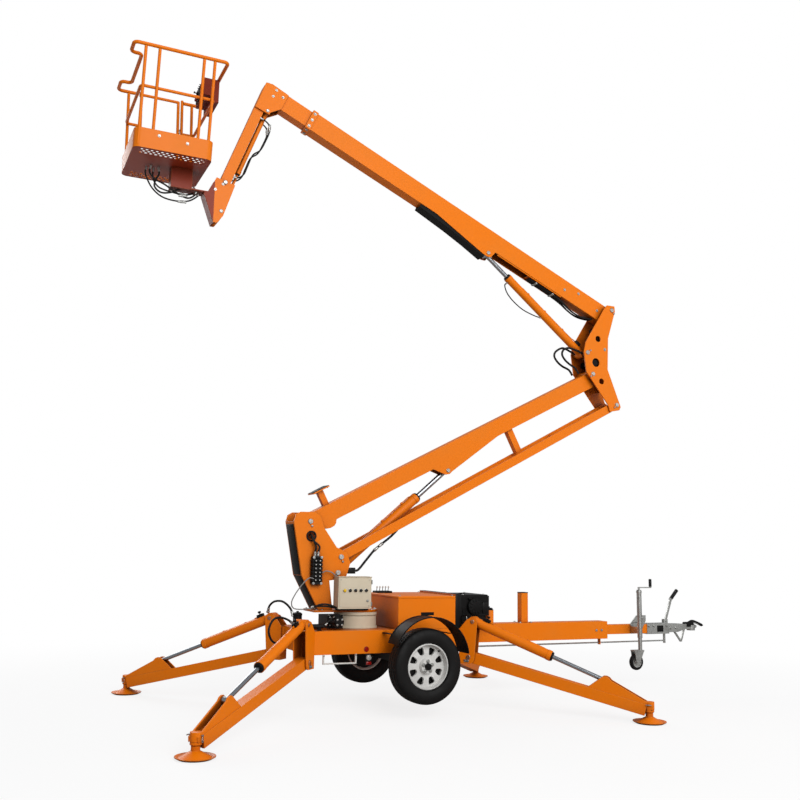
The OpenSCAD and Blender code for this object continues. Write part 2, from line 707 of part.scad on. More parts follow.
module lower_boom() {
  tip = lower_length + 55;
  slope = (lower_top_tip - lower_top_base) / lower_length;
  top0 = lower_top_base - slope * 70;
  color(orange) at_lower() difference() {
    union() {
      plate([[-70, top0], [tip, lower_top_tip], [tip, lower_top_tip - lower_depth],
             [-70, top0 - lower_depth]], -boom_half, boom_width);
      across([0, 0], 48, plate_in - fit);
      across([lower_length, 0], 44, plate_in - fit);
      both_sides() plate([[1430, -90], [1560, lower_gusset[1] - 26], [1606, lower_gusset[1] - 40],
                          [1645, lower_gusset[1] - 28], [2440, -110]], lug_half, lug_t);
      plate([[100, -98], [116, -126], [142, -146], [180, -156], [222, -154], [250, -138], [276, -98]],
            -boom_half, boom_width);
      block([strut_x - 35, strut_x + 35], [-35, 35], [-145 - strut_len, -120]);
      block([cradle_x - 30, cradle_x + 30], [-30, 30], [40, 63 + cradle_height]);
      block([cradle_x - 90, cradle_x + 90], [-85, 85], [51 + cradle_height, 63 + cradle_height]);
    }
    plate([[80, top0 - boom_wall - 6], [lower_length - 90, lower_top_tip - boom_wall],
           [lower_length - 90, lower_top_tip - lower_depth + boom_wall],
           [80, top0 - lower_depth + boom_wall]], boom_wall - boom_half, boom_width - 2 * boom_wall);
    block([lower_gusset[0] - 560, lower_gusset[0] + 110], [-lug_half, lug_half], [-300, -90]);
    across([0, 0], pin_r + fit, 200);
    across([lower_length, 0], pin_r + fit, 200);
  }
}

module lower_link() {
  color(orange) at_point(pin_d, lower_angle) difference() {
    union() {
      both_sides() {
        block([0, lower_length], [link_in, link_in + link_t], [-link_depth / 2, link_depth / 2]);
        boss_pair([0, 0], link_depth / 2, link_in, plate_in - fit);
        boss_pair([lower_length, 0], link_depth / 2, link_in, plate_in - fit);
      }
      for (x = [2900, 3500]) across([x, 0], 22, link_in + 1);
    }
    across([0, 0], pin_r + fit, 200);
    across([lower_length, 0], pin_r + fit, 200);
  }
}

module lower_lift_barrel() {
  color(orange) at_point(lower_cyl_base, lower_cyl_angle)
    barrel(lower_barrel_len, lower_barrel_r, lower_rod_r, 56, pin_r);
}

module lower_lift_rod() {
  color(steel) at_point(lower_cyl_base, lower_cyl_angle)
    rod(lower_cyl_len, lower_cyl_len * 0.55, lower_rod_r, 36, 50, lug_half - fit, 18);
}

// Knuckle ---------------------------------------------------------------------------------

module knuckle() {
  outline = [for (p = [[178, 790], [215, 831], [319, 831], [325, 770], [219, 437], [205, 70],
                       [379, -350], [360, -390], [228, -418], [202, -338], [-89, 18], [-120, 252],
                       [-94, 358]]) pin_b + p];
  color(orange) difference() {
    union() {
      both_sides() plate(outline, plate_in, plate_t);
      for (p = [pin_b, pin_c, pin_k, upper_cyl_base]) across(p, pin_r, plate_out + 10);
      across(pin_b + [170, 300], 20, plate_out);
    }
    for (h = [[78, 416, 36], [42, 136, 50], [116, -76, 34]])
      across_hole(pin_b + [h[0], h[1]], h[2], -plate_out - 5, 5 - plate_in);
  }
}

// Upper boom ------------------------------------------------------------------------------

module upper_boom() {
  color(orange) at_upper() difference() {
    union() {
      block([-50, upper_length], [-boom_half, boom_half], [upper_bottom, upper_top]);
      across([0, 0], 46, plate_in - fit);
      both_sides() plate([[1590, upper_bottom + 10], [1620, upper_gusset[1] - 30],
                          [1668, upper_gusset[1] - 46], [1730, upper_gusset[1] - 44],
                          [2430, upper_bottom + 5]], lug_half, lug_t);
      block([upper_length - 60, upper_length], [-boom_half - 8, boom_half + 8],
            [upper_bottom - 8, upper_top + 8]);
    }
    across([0, 0], pin_r + fit, 200);
    block([350, upper_length + 1], [-inner_half - inner_gap, inner_half + inner_gap],
          [inner_top - inner_depth - inner_gap, inner_top + inner_gap]);
    block([upper_gusset[0] - 560, upper_gusset[0] + 85], [-lug_half, lug_half],
          [upper_bottom - 10, upper_bottom + 10]);
  }
  color(black) at_upper() difference() {
    block([upper_length - 70, upper_length - 5], [-inner_half - inner_gap, inner_half + inner_gap],
          [inner_top - inner_depth - inner_gap, inner_top + inner_gap]);
    block([upper_length - 80, upper_length + 5], [-inner_half - fit, inner_half + fit],
          [inner_top - inner_depth - fit, inner_top + fit]);
  }
}

module upper_lift_barrel() {
  color(orange) at_point(upper_cyl_base, upper_cyl_angle)
    barrel(upper_barrel_len, upper_barrel_r, upper_rod_r, 56, pin_r);
}

module upper_lift_rod() {
  color(steel) at_point(upper_cyl_base, upper_cyl_angle)
    rod(upper_cyl_len, upper_cyl_len * 0.5, upper_rod_r, 34, 50, lug_half - fit, 18);
}

// Channel for the hoses, bolted along the lower edges of the gusset plates
module hose_tray() {
  wall = 4;
  gap = 0.4;
  half = lug_half + wall;
  edge = [[1700, upper_gusset[1] - 45 - gap], [1730, upper_gusset[1] - 44 - gap],
          [2396, upper_bottom - gap], [2600, upper_bottom - gap]];
  color(black) at_upper() difference() {
    plate(concat(edge, [[2600, -216], [2205, -240], [1960, -264], [1700, -300]]), -half, 2 * half);
    plate([[1699, -240], [2601, -100], [2601, -216 + wall], [2205, -240 + wall],
           [1960, -264 + wall], [1699, -300 + wall]], wall - half, 2 * (half - wall));
  }
}

module inner_boom() {
  color(orange) at_upper() {
    block([head_x - inner_shows - inner_hidden, head_x], [-inner_half, inner_half],
          [inner_top - inner_depth, inner_top]);
  }
}

module gooseneck() {
  cheek = [[head_x + fit, inner_top - inner_depth], [head_x + fit, inner_top],
           [head_x + 190, inner_top + 5], [neck_top[0] + neck_depth / 2 - 2, 0],
           [neck_top[0] + neck_depth / 2 - 22, -300], [level_top[0] - 32, level_top[1] - 26],
           [level_top[0] - 36, level_top[1] + 8]];
  color(orange) at_upper() {
    difference() {
      union() {
        both_sides() plate(cheek, neck_plate_out + 8, 12);
        block([head_x + fit, head_x + 14], [-neck_plate_out - 9, neck_plate_out + 9],
              [inner_top - inner_depth, inner_top]);
        block([head_x + 5, head_x + 235], [-neck_plate_out - 9, neck_plate_out + 9],
              [inner_top - 14, inner_top]);
        at_neck() {
          both_sides() block([-neck_depth / 2, neck_depth / 2],
                             [neck_plate_out - neck_plate_t, neck_plate_out + 9],
                             [-300, -20]);
          both_sides() block([-neck_depth / 2, neck_depth / 2],
                             [neck_plate_out - neck_plate_t, neck_plate_out],
                             [-neck_run, -20]);
          block([neck_depth / 2 - 10, neck_depth / 2], [-neck_plate_out + 1, neck_plate_out - 1],
                [-neck_run + 90, -20]);
          boss_pair([0, -neck_run], neck_depth / 2, neck_plate_out - neck_plate_t, neck_plate_out);
        }
        across(level_top, 14, neck_plate_out + 20);
      }
      at_neck() across([0, -neck_run], 18 + fit, 200);
    }
  }
}

module at_neck() {
  translate([neck_top[0], 0, neck_top[1]]) rotate([0, neck_lean, 0]) children();
}

module level_barrel() {
  color(orange) at_upper() at_point(level_top, level_angle)
    barrel(level_barrel_len, level_barrel_r, level_rod_r, 30, 14);
}

module level_rod() {
  color(orange) at_upper() at_point(level_top, level_angle)
    rod(level_len, level_len * 0.5, level_rod_r, 22, 30, bracket_in - fit, 14);
}

// Basket ----------------------------------------------------------------------------------

module basket_bracket() {
  h = basket_hinge;
  outline = [for (p = [[-86, 39], [99, -11], [30, -230], [-6, -342], [-60, -420], [-100, -420],
                       [-204, -140], [-157, -111]]) h + p];
  color(orange) {
    both_sides() plate(outline, bracket_in, bracket_t);
    plate([h + [-204, -140], h + [-100, -420], h + [-88, -416], h + [-192, -136]],
          -bracket_in - 1, 2 * bracket_in + 2);
    boss_pair(h, 18, neck_plate_out - neck_plate_t - 2, bracket_in + bracket_t + 8);
    block([h[0] - 330, h[0] - 150], [-bracket_in - bracket_t, bracket_in + bracket_t],
          [h[1] - 130, h[1] - 118]);
    block([h[0] - 520, h[0] - 318], [-60, 60], [h[1] - 130, floor_z - floor_t - fit]);
  }
}

// Tube along one line, and a closed ring of tube with round corners
module tube(p, q, r) {
  v = q - p;
  l = norm(v);
  translate(p) rotate([0, acos(v[2] / l), atan2(v[1], v[0])]) cylinder(r = r, h = l);
}

// Level tube through a list of points [x, y] at height z, with each corner bent to a radius
module rail(points, z, bend, r) {
  last = len(points) - 1;
  for (i = [0 : last - 1]) {
    d = unit(points[i + 1] - points[i]);
    p = points[i] + (i == 0 ? 0 : corner_cut(points, i, bend)) * d;
    q = points[i + 1] - (i == last - 1 ? 0 : corner_cut(points, i + 1, bend)) * d;
    tube([p[0], p[1], z], [q[0], q[1], z], r);
  }
  for (i = [1 : last - 1]) {
    a = corner_turn(points, i);
    d = unit(points[i] - points[i - 1]);
    side = a > 0 ? [-d[1], d[0]] : [d[1], -d[0]];
    centre = points[i] - corner_cut(points, i, bend) * d + bend * side;
    translate([centre[0], centre[1], z])
      rotate([0, 0, atan2(-side[1], -side[0]) + (a > 0 ? 0 : a)])
        rotate_extrude(angle = abs(a)) translate([bend, 0]) circle(r = r);
  }
}

function unit(v) = v / norm(v);
function corner_turn(p, i) = let (a = unit(p[i] - p[i - 1]), b = unit(p[i + 1] - p[i]))
  atan2(a[0] * b[1] - a[1] * b[0], a[0] * b[0] + a[1] * b[1]);
function corner_cut(p, i, bend) = bend * tan(abs(corner_turn(p, i)) / 2);

// A point on the side posts' centre line at height z
function on_post(x, z) = [x, basket_y - 12, floor_z] + post_vec * (z - floor_z) / post_vec[2];

module side_post(x, z0, z1, r) { tube(on_post(x, z0), on_post(x, z1), r); }

module basket_frame() {
  under_rail = rail_top - rail_r - fit;
  color(orange) difference() {
    union() {
      mirror([0, 1, 0]) for (x = post_x) side_post(x, floor_z + 2, under_rail, post_r);
      for (x = [post_x[0], post_x[3]]) side_post(x, floor_z + 2, under_rail, post_r);
      for (x = [post_x[1], post_x[2]]) side_post(x, floor_z + 2, rail_top + 26, post_r);
      rail([[post_x[2], mid_y], [mid_x[1], mid_y], [mid_x[1], -mid_y], [mid_x[0], -mid_y],
            [mid_x[0], mid_y], [post_x[1], mid_y]], rail_mid, 40, post_r);
    }
    block([post_x[1] + post_r - 1, post_x[2] - post_r + 1], [0, 2 * rail_y],
          [floor_z + 30, rail_top + 50]);
  }
}

module basket_rail() {
  color(orange) rail([[post_x[1] - post_r - 11, rail_y], [rail_x[0], rail_y],
                      [rail_x[0], rail_y - ear_width], [ear_x, rail_y - ear_width],
                      [ear_x, ear_width - rail_y], [rail_x[0], ear_width - rail_y],
                      [rail_x[0], -rail_y], [rail_x[1], -rail_y], [rail_x[1], rail_y],
                      [post_x[2] + post_r + fit, rail_y]], rail_top, 42, rail_r);
}

// Tray with an upright toe board, its corners bent round, and rows of drain holes in the floor
module basket_floor() {
  toe = 150;                      // height of the toe board above the floor
  bend = 60;
  color(orange_dark) difference() {
    rounded_block(basket_x, basket_y, bend, floor_z - floor_t, floor_z + toe);
    rounded_block([basket_x[0] + toe_t, basket_x[1] - toe_t], basket_y - toe_t, bend - toe_t,
                  floor_z, floor_z + toe + 1);
    for (i = [0 : 12], j = [0 : 2], s = [-1, 1])
      translate([basket_x[0] + 85 + i * 46 + (j % 2) * 23, s * (basket_y - 50 - j * 38), 0])
        cylinder(r = 13, h = 2 * floor_z);
    both_sides() for (x = post_x) side_post(x, floor_z - 5, floor_z + toe + 20, post_r + fit);
  }
}

module rounded_block(x, y, r, z0, z1) {
  block([x[0] + r, x[1] - r], [-y, y], [z0, z1]);
  block(x, [r - y, y - r], [z0, z1]);
  for (px = [x[0] + r, x[1] - r], py = [r - y, y - r])
    translate([px, py, z0]) cylinder(r = r, h = z1 - z0);
}

// Gate between the two middle posts of the left side; its eyes turn on the rear one of them
module basket_gate() {
  color(orange) difference() {
    union() {
      for (z = gate_z) tube(on_post(post_x[1], z), on_post(gate_free, z), post_r);
      side_post(gate_free, gate_z[0] - 30, gate_z[2] + 5, post_r);
      for (z = gate_z) side_post(post_x[1], z - 20, z + 20, post_r + 6);
    }
    side_post(post_x[1], floor_z, rail_top + 60, post_r + fit);
  }
}

module basket_panel() {
  color(orange_dark) difference() {
    block([rail_x[1] - 150, rail_x[1]], [-170, 170], [rail_top - 250, rail_top - rail_r - fit]);
    block([rail_x[1] - 156, rail_x[1] - 70], [-180, 180], [rail_top - 251, rail_top - 190]);
  }
}

chassis_frame();
drawbar();
drawbar_tube();
coupling();
handbrake_lever();
travel_post();
axle();
mudguards();
power_pack();
engine();
slew_base();
lamp_frame();
brake_rod();
jockey_clamp();
jockey_leg();
jockey_fork();
jockey_wheel();
tyre_left();
rim_left();
tyre_right();
rim_right();
outrigger_leg_rear_left();
outrigger_foot_rear_left();
outrigger_barrel_rear_left();
outrigger_rod_rear_left();
outrigger_leg_rear_right();
outrigger_foot_rear_right();
outrigger_barrel_rear_right();
outrigger_rod_rear_right();
outrigger_leg_front_left();
outrigger_foot_front_left();
outrigger_barrel_front_left();
outrigger_rod_front_left();
outrigger_leg_front_right();
outrigger_foot_front_right();
outrigger_barrel_front_right();
outrigger_rod_front_right();
turret_column();
control_box();
slew_motor();
valve_block();
lower_boom();
lower_link();
lower_lift_barrel();
lower_lift_rod();
knuckle();
upper_boom();
upper_lift_barrel();
upper_lift_rod();
hose_tray();
inner_boom();
gooseneck();
level_barrel();
level_rod();
basket_bracket();
basket_frame();
basket_rail();
basket_floor();
basket_gate();
basket_panel();
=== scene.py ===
# Towable articulated boom lift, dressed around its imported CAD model: paint, rubber, bare metal, hoses
# and small fittings. The frame is in metres: +X to the tow coupling, +Y to the machine's left, +Z up,
# with the slewing axis at the origin.
import bpy
import bmesh
import json
import math
from mathutils import Matrix, Vector


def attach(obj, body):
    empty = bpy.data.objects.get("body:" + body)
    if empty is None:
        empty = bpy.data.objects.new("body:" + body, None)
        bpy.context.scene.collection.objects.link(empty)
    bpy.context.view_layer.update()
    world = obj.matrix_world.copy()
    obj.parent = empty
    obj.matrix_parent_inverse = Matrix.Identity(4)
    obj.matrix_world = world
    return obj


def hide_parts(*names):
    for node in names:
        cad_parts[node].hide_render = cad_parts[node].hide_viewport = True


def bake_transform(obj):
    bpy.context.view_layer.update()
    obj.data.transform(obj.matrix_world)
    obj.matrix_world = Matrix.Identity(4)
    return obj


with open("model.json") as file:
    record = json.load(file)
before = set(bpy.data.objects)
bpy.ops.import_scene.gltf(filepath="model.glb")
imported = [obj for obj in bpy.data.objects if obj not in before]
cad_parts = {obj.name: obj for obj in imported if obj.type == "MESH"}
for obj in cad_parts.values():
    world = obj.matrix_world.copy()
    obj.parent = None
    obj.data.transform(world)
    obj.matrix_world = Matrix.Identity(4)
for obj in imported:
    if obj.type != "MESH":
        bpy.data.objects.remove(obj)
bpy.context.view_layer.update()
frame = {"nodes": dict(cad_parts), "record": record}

# --- Studio ------------------------------------------------------------------------------
# A pale seamless floor with large soft lamps over it, as for a product sheet. The camera stands
# low off the machine's right rear corner, tilted up a little.

def linear(hex_colour):
    """Linear colour of an sRGB hex value."""
    channels = [int(hex_colour[i:i + 2], 16) / 255 for i in (1, 3, 5)]
    return [c / 12.92 if c <= 0.04045 else ((c + 0.055) / 1.055) ** 2.4 for c in channels] + [1.0]


def add_node(tree, kind, inputs=None, **settings):
    """Node with its settings, and its inputs set to values or linked to other nodes' outputs."""
    node = tree.nodes.new(kind)
    for key, value in settings.items():
        setattr(node, key, value)
    for key, value in (inputs or {}).items():
        if isinstance(value, bpy.types.NodeSocket):
            tree.links.new(value, node.inputs[key])
        else:
            node.inputs[key].default_value = value
    return node


def add_noise(tree, vector, size_mm, detail, roughness=0.5):
    """Noise with clouds or grains of this size."""
    return add_node(tree, "ShaderNodeTexNoise", {"Vector": vector, "Scale": 1000 / size_mm, "Detail": detail,
                                                 "Roughness": roughness}).outputs["Fac"]


def add_range(tree, value, start, end, low=0.0, high=1.0, **settings):
    """Value that runs from low to high while another runs from start to end."""
    return add_node(tree, "ShaderNodeMapRange", {"Value": value, "From Min": start, "From Max": end, "To Min": low,
                                                 "To Max": high}, **settings).outputs[0]


def add_mix(tree, share, under, over):
    """Colour that a share of another covers."""
    return add_node(tree, "ShaderNodeMix", {0: share, 6: under, 7: over}, data_type="RGBA").outputs[2]


def add_camera_view(tree, seen, others, output):
    """Output node that shows one shader to the camera and another to all else."""
    path = add_node(tree, "ShaderNodeLightPath")
    mixed = add_node(tree, "ShaderNodeMixShader",
                     {0: path.outputs["Is Camera Ray"], 1: others.outputs[0], 2: seen.outputs[0]})
    add_node(tree, output, {"Surface": mixed.outputs[0]})


def new_material(name):
    """Material with a fresh node tree, and the place on the object that its textures are drawn by."""
    material = bpy.data.materials.new(name)
    material.use_nodes = True
    material.node_tree.nodes.clear()
    place = add_node(material.node_tree, "ShaderNodeTexCoord")
    return material, material.node_tree, place.outputs["Object"]


def close_material(material, inputs):
    """Give a material its one shader."""
    shader = add_node(material.node_tree, "ShaderNodeBsdfPrincipled", inputs)
    add_node(material.node_tree, "ShaderNodeOutputMaterial", {"Surface": shader.outputs[0]})
    return material


CAMERA_PLACE = (-3.512, -8.5665, 1.5196)
CAMERA_HEADING = 0.4326      # radians from +Y towards +X
CAMERA_PITCH = 0.1606
CAMERA_ROLL = 0.0171
FOCAL_SHARE = 922.76 / 800   # focal length as a share of the image width

camera_data = bpy.data.cameras.new("camera")
camera_data.sensor_width = 36
camera_data.lens = 36 * FOCAL_SHARE
camera_data.clip_end = 200
camera = bpy.data.objects.new("camera", camera_data)
ahead = Vector((math.sin(CAMERA_HEADING) * math.cos(CAMERA_PITCH),
                math.cos(CAMERA_HEADING) * math.cos(CAMERA_PITCH), math.sin(CAMERA_PITCH)))
across = Vector((math.cos(CAMERA_HEADING), -math.sin(CAMERA_HEADING), 0))
upward = across.cross(ahead)
right = across * math.cos(CAMERA_ROLL) + upward * math.sin(CAMERA_ROLL)
top = upward * math.cos(CAMERA_ROLL) - across * math.sin(CAMERA_ROLL)
camera.matrix_world = Matrix.Translation(CAMERA_PLACE) @ Matrix((right, top, -ahead)).transposed().to_4x4()
bpy.context.scene.collection.objects.link(camera)
bpy.context.scene.camera = camera
bpy.context.scene.view_settings.view_transform = "Standard"

FLOOR_HALF = 60
FLOOR_WHITE = "#fbfbfb"
FLOOR_BOUNCE = "#aeaba8"     # what the floor sends back up is dimmer, as from a yard outside a studio
FADE_FROM, FADE_TO = 3.5, 9.0    # out from the slewing axis, the lit paper turns to plain white
FADE_START = 0.80            # share of plain white already there under the machine
AMBIENT = 0.40               # soft light from all round; a strength of 1 is the white that is seen behind

# Matt paper: takes the machine's soft shadow close by, and is an even white further out
floor_paint, tree, place = new_material("studio_floor")
reach = add_node(tree, "ShaderNodeVectorMath", {0: place}, operation="LENGTH")
paper = add_range(tree, reach.outputs["Value"], FADE_FROM, FADE_TO, FADE_START, interpolation_type="SMOOTHSTEP")
lit = add_node(tree, "ShaderNodeBsdfDiffuse", {"Color": linear(FLOOR_WHITE)})
white = add_node(tree, "ShaderNodeEmission", {"Color": (1, 1, 1, 1), "Strength": 1.0})
backdrop = add_node(tree, "ShaderNodeMixShader", {0: paper, 1: lit.outputs[0], 2: white.outputs[0]})
bounce = add_node(tree, "ShaderNodeBsdfDiffuse", {"Color": linear(FLOOR_BOUNCE)})
add_camera_view(tree, backdrop, bounce, "ShaderNodeOutputMaterial")
floor_mesh = bpy.data.meshes.new("floor")
floor_mesh.from_pydata([(-FLOOR_HALF, -FLOOR_HALF, 0), (FLOOR_HALF, -FLOOR_HALF, 0),
                        (FLOOR_HALF, FLOOR_HALF, 0), (-FLOOR_HALF, FLOOR_HALF, 0)], [], [(0, 1, 2, 3)])
floor_mesh.materials.append(floor_paint)
floor = bpy.data.objects.new("floor", floor_mesh)
bpy.context.scene.collection.objects.link(floor)

world = bpy.data.worlds.new("studio")
bpy.context.scene.world = world
world.use_nodes = True
world.node_tree.nodes.clear()
tree = world.node_tree
shown = add_node(tree, "ShaderNodeBackground", {"Color": (1, 1, 1, 1), "Strength": 1.0})
ambient = add_node(tree, "ShaderNodeBackground", {"Color": (0.97, 0.98, 1, 1), "Strength": AMBIENT})
add_camera_view(tree, shown, ambient, "ShaderNodeOutputWorld")

LAMPS = [  # name, place, aimed at, width, power in watts
    ("key", (0.5, -15.0, 8.5), (0.4, 0, 2.4), 11.0, 1830),
    ("fill", (11.0, -8.0, 5.0), (0.4, 0, 2.0), 8.0, 200),
    ("back", (-2.0, 11.0, 6.5), (0.5, 0, 2.4), 7.0, 520),
]
for name, place, target, width, power in LAMPS:
    lamp = bpy.data.lights.new(name, "AREA")
    lamp.size = width
    lamp.energy = power
    lamp_object = bpy.data.objects.new(name, lamp)
    lamp_object.location = place
    lamp_object.rotation_euler = (Vector(target) - Vector(place)).to_track_quat("-Z", "Y").to_euler()
    bpy.context.scene.collection.objects.link(lamp_object)

# --- Orange steelwork --------------------------------------------------------------------
# The chassis, booms, legs, turret and basket are welded steel in two-pack enamel, sprayed over
# primer. It shows a faint orange peel, dust on the flats and thin edges; brown painted shade darkens its corners.
DUST_MM = 385                # clouds of yard dust on the flats
DUST_FROM, DUST_TO = 0.45, 0.75  # where in the noise the clouds begin and are full


def enamel(name, colour, dusty, roughness, coat, grain_mm=9.0, edge=None, painted_corner_shade=None,
           primer_and_painted_shade=None, primer_and_shade_behind=-9.0):
    """Sprayed coat, duller where dust lies. Orange peel is 2 to 3 mm across, and is drawn coarser so that it shows.

    edge is the paler coat worn on thin edges, and the corner colour a brown painted shade in closed-in corners. The
    primer colour shows on flat faces and behind a place along the machine, and under the basket it is also painted
    shade."""
    material, tree, place = new_material(name)
    cloud = add_noise(tree, place, DUST_MM, 5.0, 0.62)
    dust = add_range(tree, cloud, DUST_FROM, DUST_TO, high=0.5)
    base = add_mix(tree, dust, linear(colour), linear(dusty))
    normal = add_node(tree, "ShaderNodeNewGeometry").outputs["Normal"]
    # Primer colour on level faces and behind a place; on the basket's underside it is also painted shade
    if primer_and_painted_shade:      # faces that lie level, and all of it behind the place
        level = add_node(tree, "ShaderNodeSeparateXYZ", {0: normal})
        flat = add_node(tree, "ShaderNodeMath", {0: level.outputs["Z"]}, operation="ABSOLUTE")
        along = add_node(tree, "ShaderNodeSeparateXYZ", {0: place})
        behind = add_node(tree, "ShaderNodeMath", {0: along.outputs["X"], 1: primer_and_shade_behind}, operation="LESS_THAN")
        either = add_node(tree, "ShaderNodeMath", {0: flat.outputs[0], 1: behind.outputs[0]}, operation="MAXIMUM")
        base = add_mix(tree, add_range(tree, either.outputs[0], 0.4, 0.6), base, linear(primer_and_painted_shade))
    # Painted shade: darkened towards brown where occlusion finds a corner closed in within 300 mm
    if painted_corner_shade:       # in corners that are closed in within 300 mm
        corner = add_node(tree, "ShaderNodeAmbientOcclusion", {"Distance": 0.30}, samples=6)
        base = add_mix(tree, add_range(tree, corner.outputs["AO"], 0.80, 0.30, high=0.85), base, linear(painted_corner_shade))
    rounded = add_node(tree, "ShaderNodeBevel", {"Radius": 0.006}, samples=8).outputs[0]
    if edge:        # where the rounded edge turns away from the flat face, in patches
        turn = add_node(tree, "ShaderNodeVectorMath", {0: rounded, 1: normal}, operation="DOT_PRODUCT")
        rim = add_range(tree, turn.outputs["Value"], 0.95, 0.75)
        chipped = add_node(tree, "ShaderNodeMath", {0: rim, 1: cloud}, operation="MULTIPLY")
        base = add_mix(tree, chipped.outputs[0], base, linear(edge))
    bump = add_node(tree, "ShaderNodeBump", {"Strength": 0.05, "Distance": 0.0005, "Normal": rounded,
                                             "Height": add_noise(tree, place, grain_mm, 2.0)})
    return close_material(material, {
        "Base Color": base, "Roughness": add_range(tree, dust, 0.0, 1.0, roughness, roughness + 0.25),
        "Normal": bump.outputs[0], "IOR": 1.5, "Specular IOR Level": 0.13,
        "Coat Weight": coat, "Coat Roughness": 0.22})


def finish_nodes(material, *names):
    """Give the carried-over parts of the frame a finish."""
    for name in names:
        for material_slot in frame["nodes"][name].material_slots:
            material_slot.material = material


# Two-pack enamel: a warm even orange with a soft gloss, paler along thin edges, with brown painted shade in the
# corners
ORANGE, DUSTY_ORANGE, WORN_ORANGE = "#ee7a06", "#e07c1e", "#f29a42"
orange_enamel = enamel("orange_two_pack_enamel", ORANGE, DUSTY_ORANGE, 0.38, 0.05, edge=WORN_ORANGE, painted_corner_shade="#55200a")
CORNERS = ("rear_left", "rear_right", "front_left", "front_right")
finish_nodes(orange_enamel, "chassis_frame", "drawbar", "drawbar_tube", "travel_post", "power_pack",
             "turret_column", "lower_boom", "lower_link", "lower_lift_barrel", "knuckle", "upper_boom",
             "upper_lift_barrel", "inner_boom", "gooseneck", "level_barrel", "level_rod",
             "basket_frame", "basket_rail", "basket_gate")
for corner in CORNERS:
    finish_nodes(orange_enamel, "outrigger_leg_" + corner, "outrigger_barrel_" + corner,
                 "outrigger_foot_" + corner)

# --- Bare and plated steel ---------------------------------------------------------------
# Cylinder rods are hard-chromed and ground to a mirror. The coupling, jockey wheel, pins and bolts
# are zinc plate over drawn or pressed steel, which shows fine draw lines and a cloudy grey.
STAIN_MM = 71.4              # clouds where the plate has dulled


def plated(name, colour, stained, roughness, grain_mm, cloudy):
    """Bright metal with clouds and draw lines. The lines are under 1 mm, and are drawn coarser so that they show."""
    material, tree, place = new_material(name)
    cloud = add_noise(tree, place, STAIN_MM, 6.0)
    stain = add_range(tree, cloud, 0.45, 0.75, high=cloudy)
    stretch = add_node(tree, "ShaderNodeMapping", {"Vector": place, "Scale": (1, 1, 12)})
    rounded = add_node(tree, "ShaderNodeBevel", {"Radius": 0.003}, samples=4)
    bump = add_node(tree, "ShaderNodeBump", {"Strength": 0.12, "Distance": 0.0003, "Normal": rounded.outputs[0],
                                             "Height": add_noise(tree, stretch.outputs[0], grain_mm, 2.0)})
    return close_material(material, {
        "Base Color": add_mix(tree, stain, linear(colour), linear(stained)), "Metallic": 1.0,
        "Roughness": add_range(tree, cloud, 0.0, 1.0, roughness, roughness + 0.18), "Normal": bump.outputs[0]})


# Zinc plate: a cold half-bright grey, cloudy where it has dulled. Lines drawn 6 mm apart
bright_zinc = plated("bright_zinc_plate", "#b4b5b2", "#83837f", 0.30, 6.0, 0.7)
# Hard chrome: dark and light bands mirrored sharply, almost without clouds. Lines drawn 12 mm apart
hard_chrome = plated("ground_hard_chrome", "#a9aeb3", "#84898f", 0.12, 12.0, 0.3)
finish_nodes(bright_zinc, "coupling", "handbrake_lever", "jockey_clamp", "jockey_leg", "jockey_fork", "brake_rod")
finish_nodes(hard_chrome, "lower_lift_rod", "upper_lift_rod")
for corner in CORNERS:
    finish_nodes(hard_chrome, "outrigger_rod_" + corner)

# --- Black and grey finishes -------------------------------------------------------------
# Engine, axle, valves and slew motor are satin black; the drum and cabinet are warm grey hammer
# paint, the rims silver lacquer, and the mudguards and hose channel moulded black polypropylene.

# Satin black enamel: soft wide highlights on a black that dust turns a little brown. Peel drawn 9 mm
satin_black = enamel("satin_black_enamel", "#0f0e0e", "#1f1c1a", 0.42, 0.05)
# Hammer paint: a warm grey with broad shallow dimples, really 3 to 5 mm across and drawn 14 mm
warm_grey = enamel("warm_grey_hammer_paint", "#cfc3ac", "#b5a78f", 0.45, 0.05, grain_mm=14.0)
# White lacquer: clean and smooth, with a clear gloss
lamp_white = enamel("white_lacquer", "#dcdad4", "#b9b4aa", 0.35, 0.2)
# Wheel lacquer: a pale silver grey under a clear coat, the glossiest paint on the machine
wheel_silver = enamel("silver_wheel_lacquer", "#d3d2cf", "#a7a6a3", 0.28, 0.3)
# Moulded polypropylene: flat black without a coat, finely textured by its mould (1 mm, drawn 5 mm)
moulded_black = enamel("moulded_polypropylene", "#0d0d0d", "#1a1918", 0.50, 0.0, grain_mm=5.0)
finish_nodes(satin_black, "axle", "engine", "slew_motor", "valve_block", "jockey_wheel")
finish_nodes(warm_grey, "control_box", "slew_base")
finish_nodes(lamp_white, "lamp_frame")
finish_nodes(wheel_silver, "rim_left", "rim_right")
finish_nodes(moulded_black, "mudguards", "hose_tray")

# --- Wheels ------------------------------------------------------------------------------
# Black natural-rubber trailer tyres, moulded with grooves and sipes, on spoked steel rims. Each rim
# is held on its hub by five zinc-plated nuts, over a cast brake drum, with a dust cap in the middle.
AXLE = Vector((0.400, 0.0, 0.470))
TRACK = 1.472
TREAD_FOOT = 0.333           # radius outside which the tread's grooves are cut
TREAD_DEPTH = 0.006
SIPE_DEPTH = 0.0036          # sipes are thin cuts across the tread
SIPES = 60                   # round the tyre
STEPS_PER_SIPE = 6
HUB_FACE = 0.064             # outer face of the hub, out from the middle of the tyre
NUT_CIRCLE = 0.046           # radius
BLOOM_MM = 91                # clouds of dust and bloom on rubber


